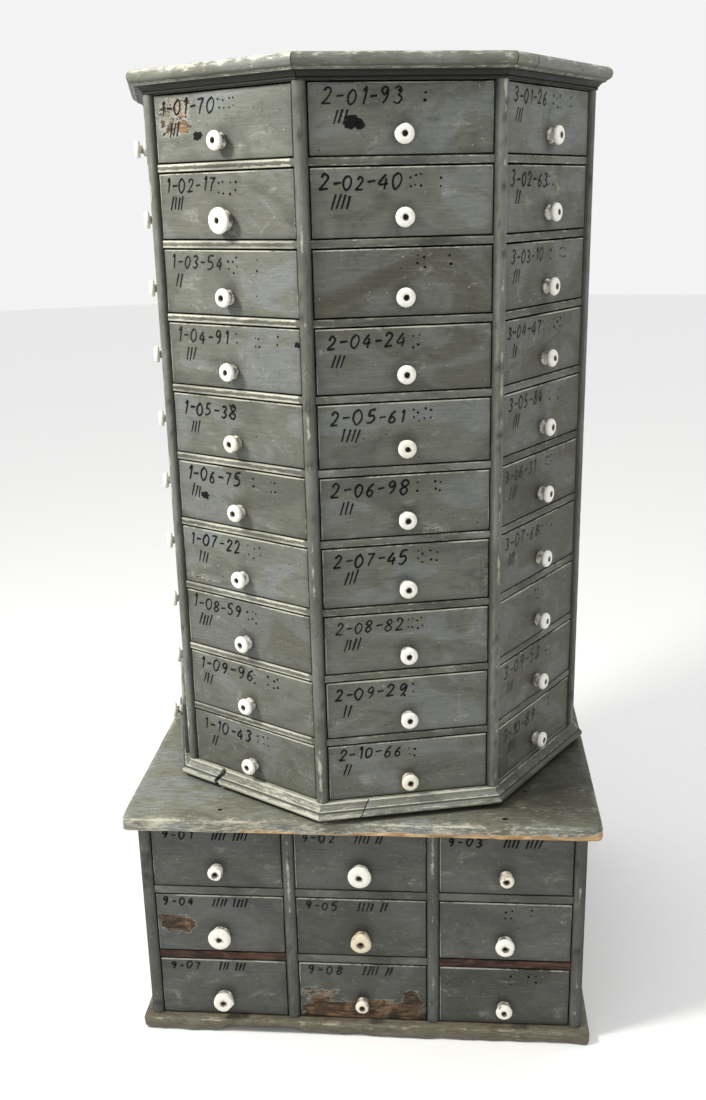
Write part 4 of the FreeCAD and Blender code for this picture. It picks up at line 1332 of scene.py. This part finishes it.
# Each change is (axis, where it starts, where it ends, how much it changes the strength).
WORLD_CHANGES = ((1, 0.75, -0.45, -0.36), (0, 0.35, 0.95, -0.34), (2, 0.25, 0.75, 0.30))


def add_object(name, data):
    obj = bpy.data.objects.new(name, data)
    bpy.context.scene.collection.objects.link(obj)
    return obj


def add_camera():
    data = bpy.data.cameras.new("camera")
    data.lens = CAMERA_LENS
    camera = add_object("camera", data)
    tilt = Matrix.Rotation(math.pi / 2 + CAMERA_PITCH, 4, "X")
    camera.matrix_world = Matrix.Translation(CAMERA_PLACE) @ turned(CAMERA_YAW) @ tilt @ turned(CAMERA_ROLL)
    bpy.context.scene.camera = camera


def add_softbox(name, place, target, size, power, colour=(1, 1, 1)):
    data = bpy.data.lights.new(name, "AREA")
    data.shape = "DISK"
    data.size = size
    data.energy = power
    data.color = colour
    light = add_object(name, data)
    light.location = place
    light.rotation_euler = (Vector(target) - Vector(place)).to_track_quat("-Z", "Y").to_euler()


def add_floor():
    """A pale round floor, level with the cabinet's foot."""
    mesh = bpy.data.meshes.new("floor")
    rim = [(FLOOR_RADIUS * math.cos(a), FLOOR_RADIUS * math.sin(a), 0) for a in circle(96)]
    mesh.from_pydata(rim, [], [range(len(rim))])
    g = Surface("pale_floor", local=True)
    mesh.materials.append(g.finish(g.mix(g.noise(40, 3), (0.92, 0.92, 0.915), (0.95, 0.95, 0.945)), 0.9))
    floor = add_object("floor", mesh)


def add_world():
    """A white studio: brightest overhead, and dimmer low down towards -Y and +X."""
    world = bpy.data.worlds.new("studio")
    world.use_nodes = True
    g = Graph(world.node_tree)
    place = g.node("ShaderNodeTexCoord", output="Generated")
    axes = g.node("ShaderNodeSeparateXYZ", {0: place}).node.outputs
    strength = WORLD_STRENGTH
    for axis, start, end, change in WORLD_CHANGES:
        strength = g.plus(g.step(axes[axis], start, end, change), strength)
    g.fill(g.tree.nodes["Background"], {0: (1.0, 1.0, 1.0), 1: strength})
    bpy.context.scene.world = world


add_camera()
add_softbox("key", (-1.30, -0.88, 2.0), (-0.15, -0.25, 0.9), 0.42, 41, (1.0, 0.985, 0.93))
add_softbox("right", (0.9, -0.7, 1.8), (0.2, -0.1, 1.1), 0.5, 4)
add_floor()
add_world()
bpy.context.scene.view_settings.view_transform = "Standard"
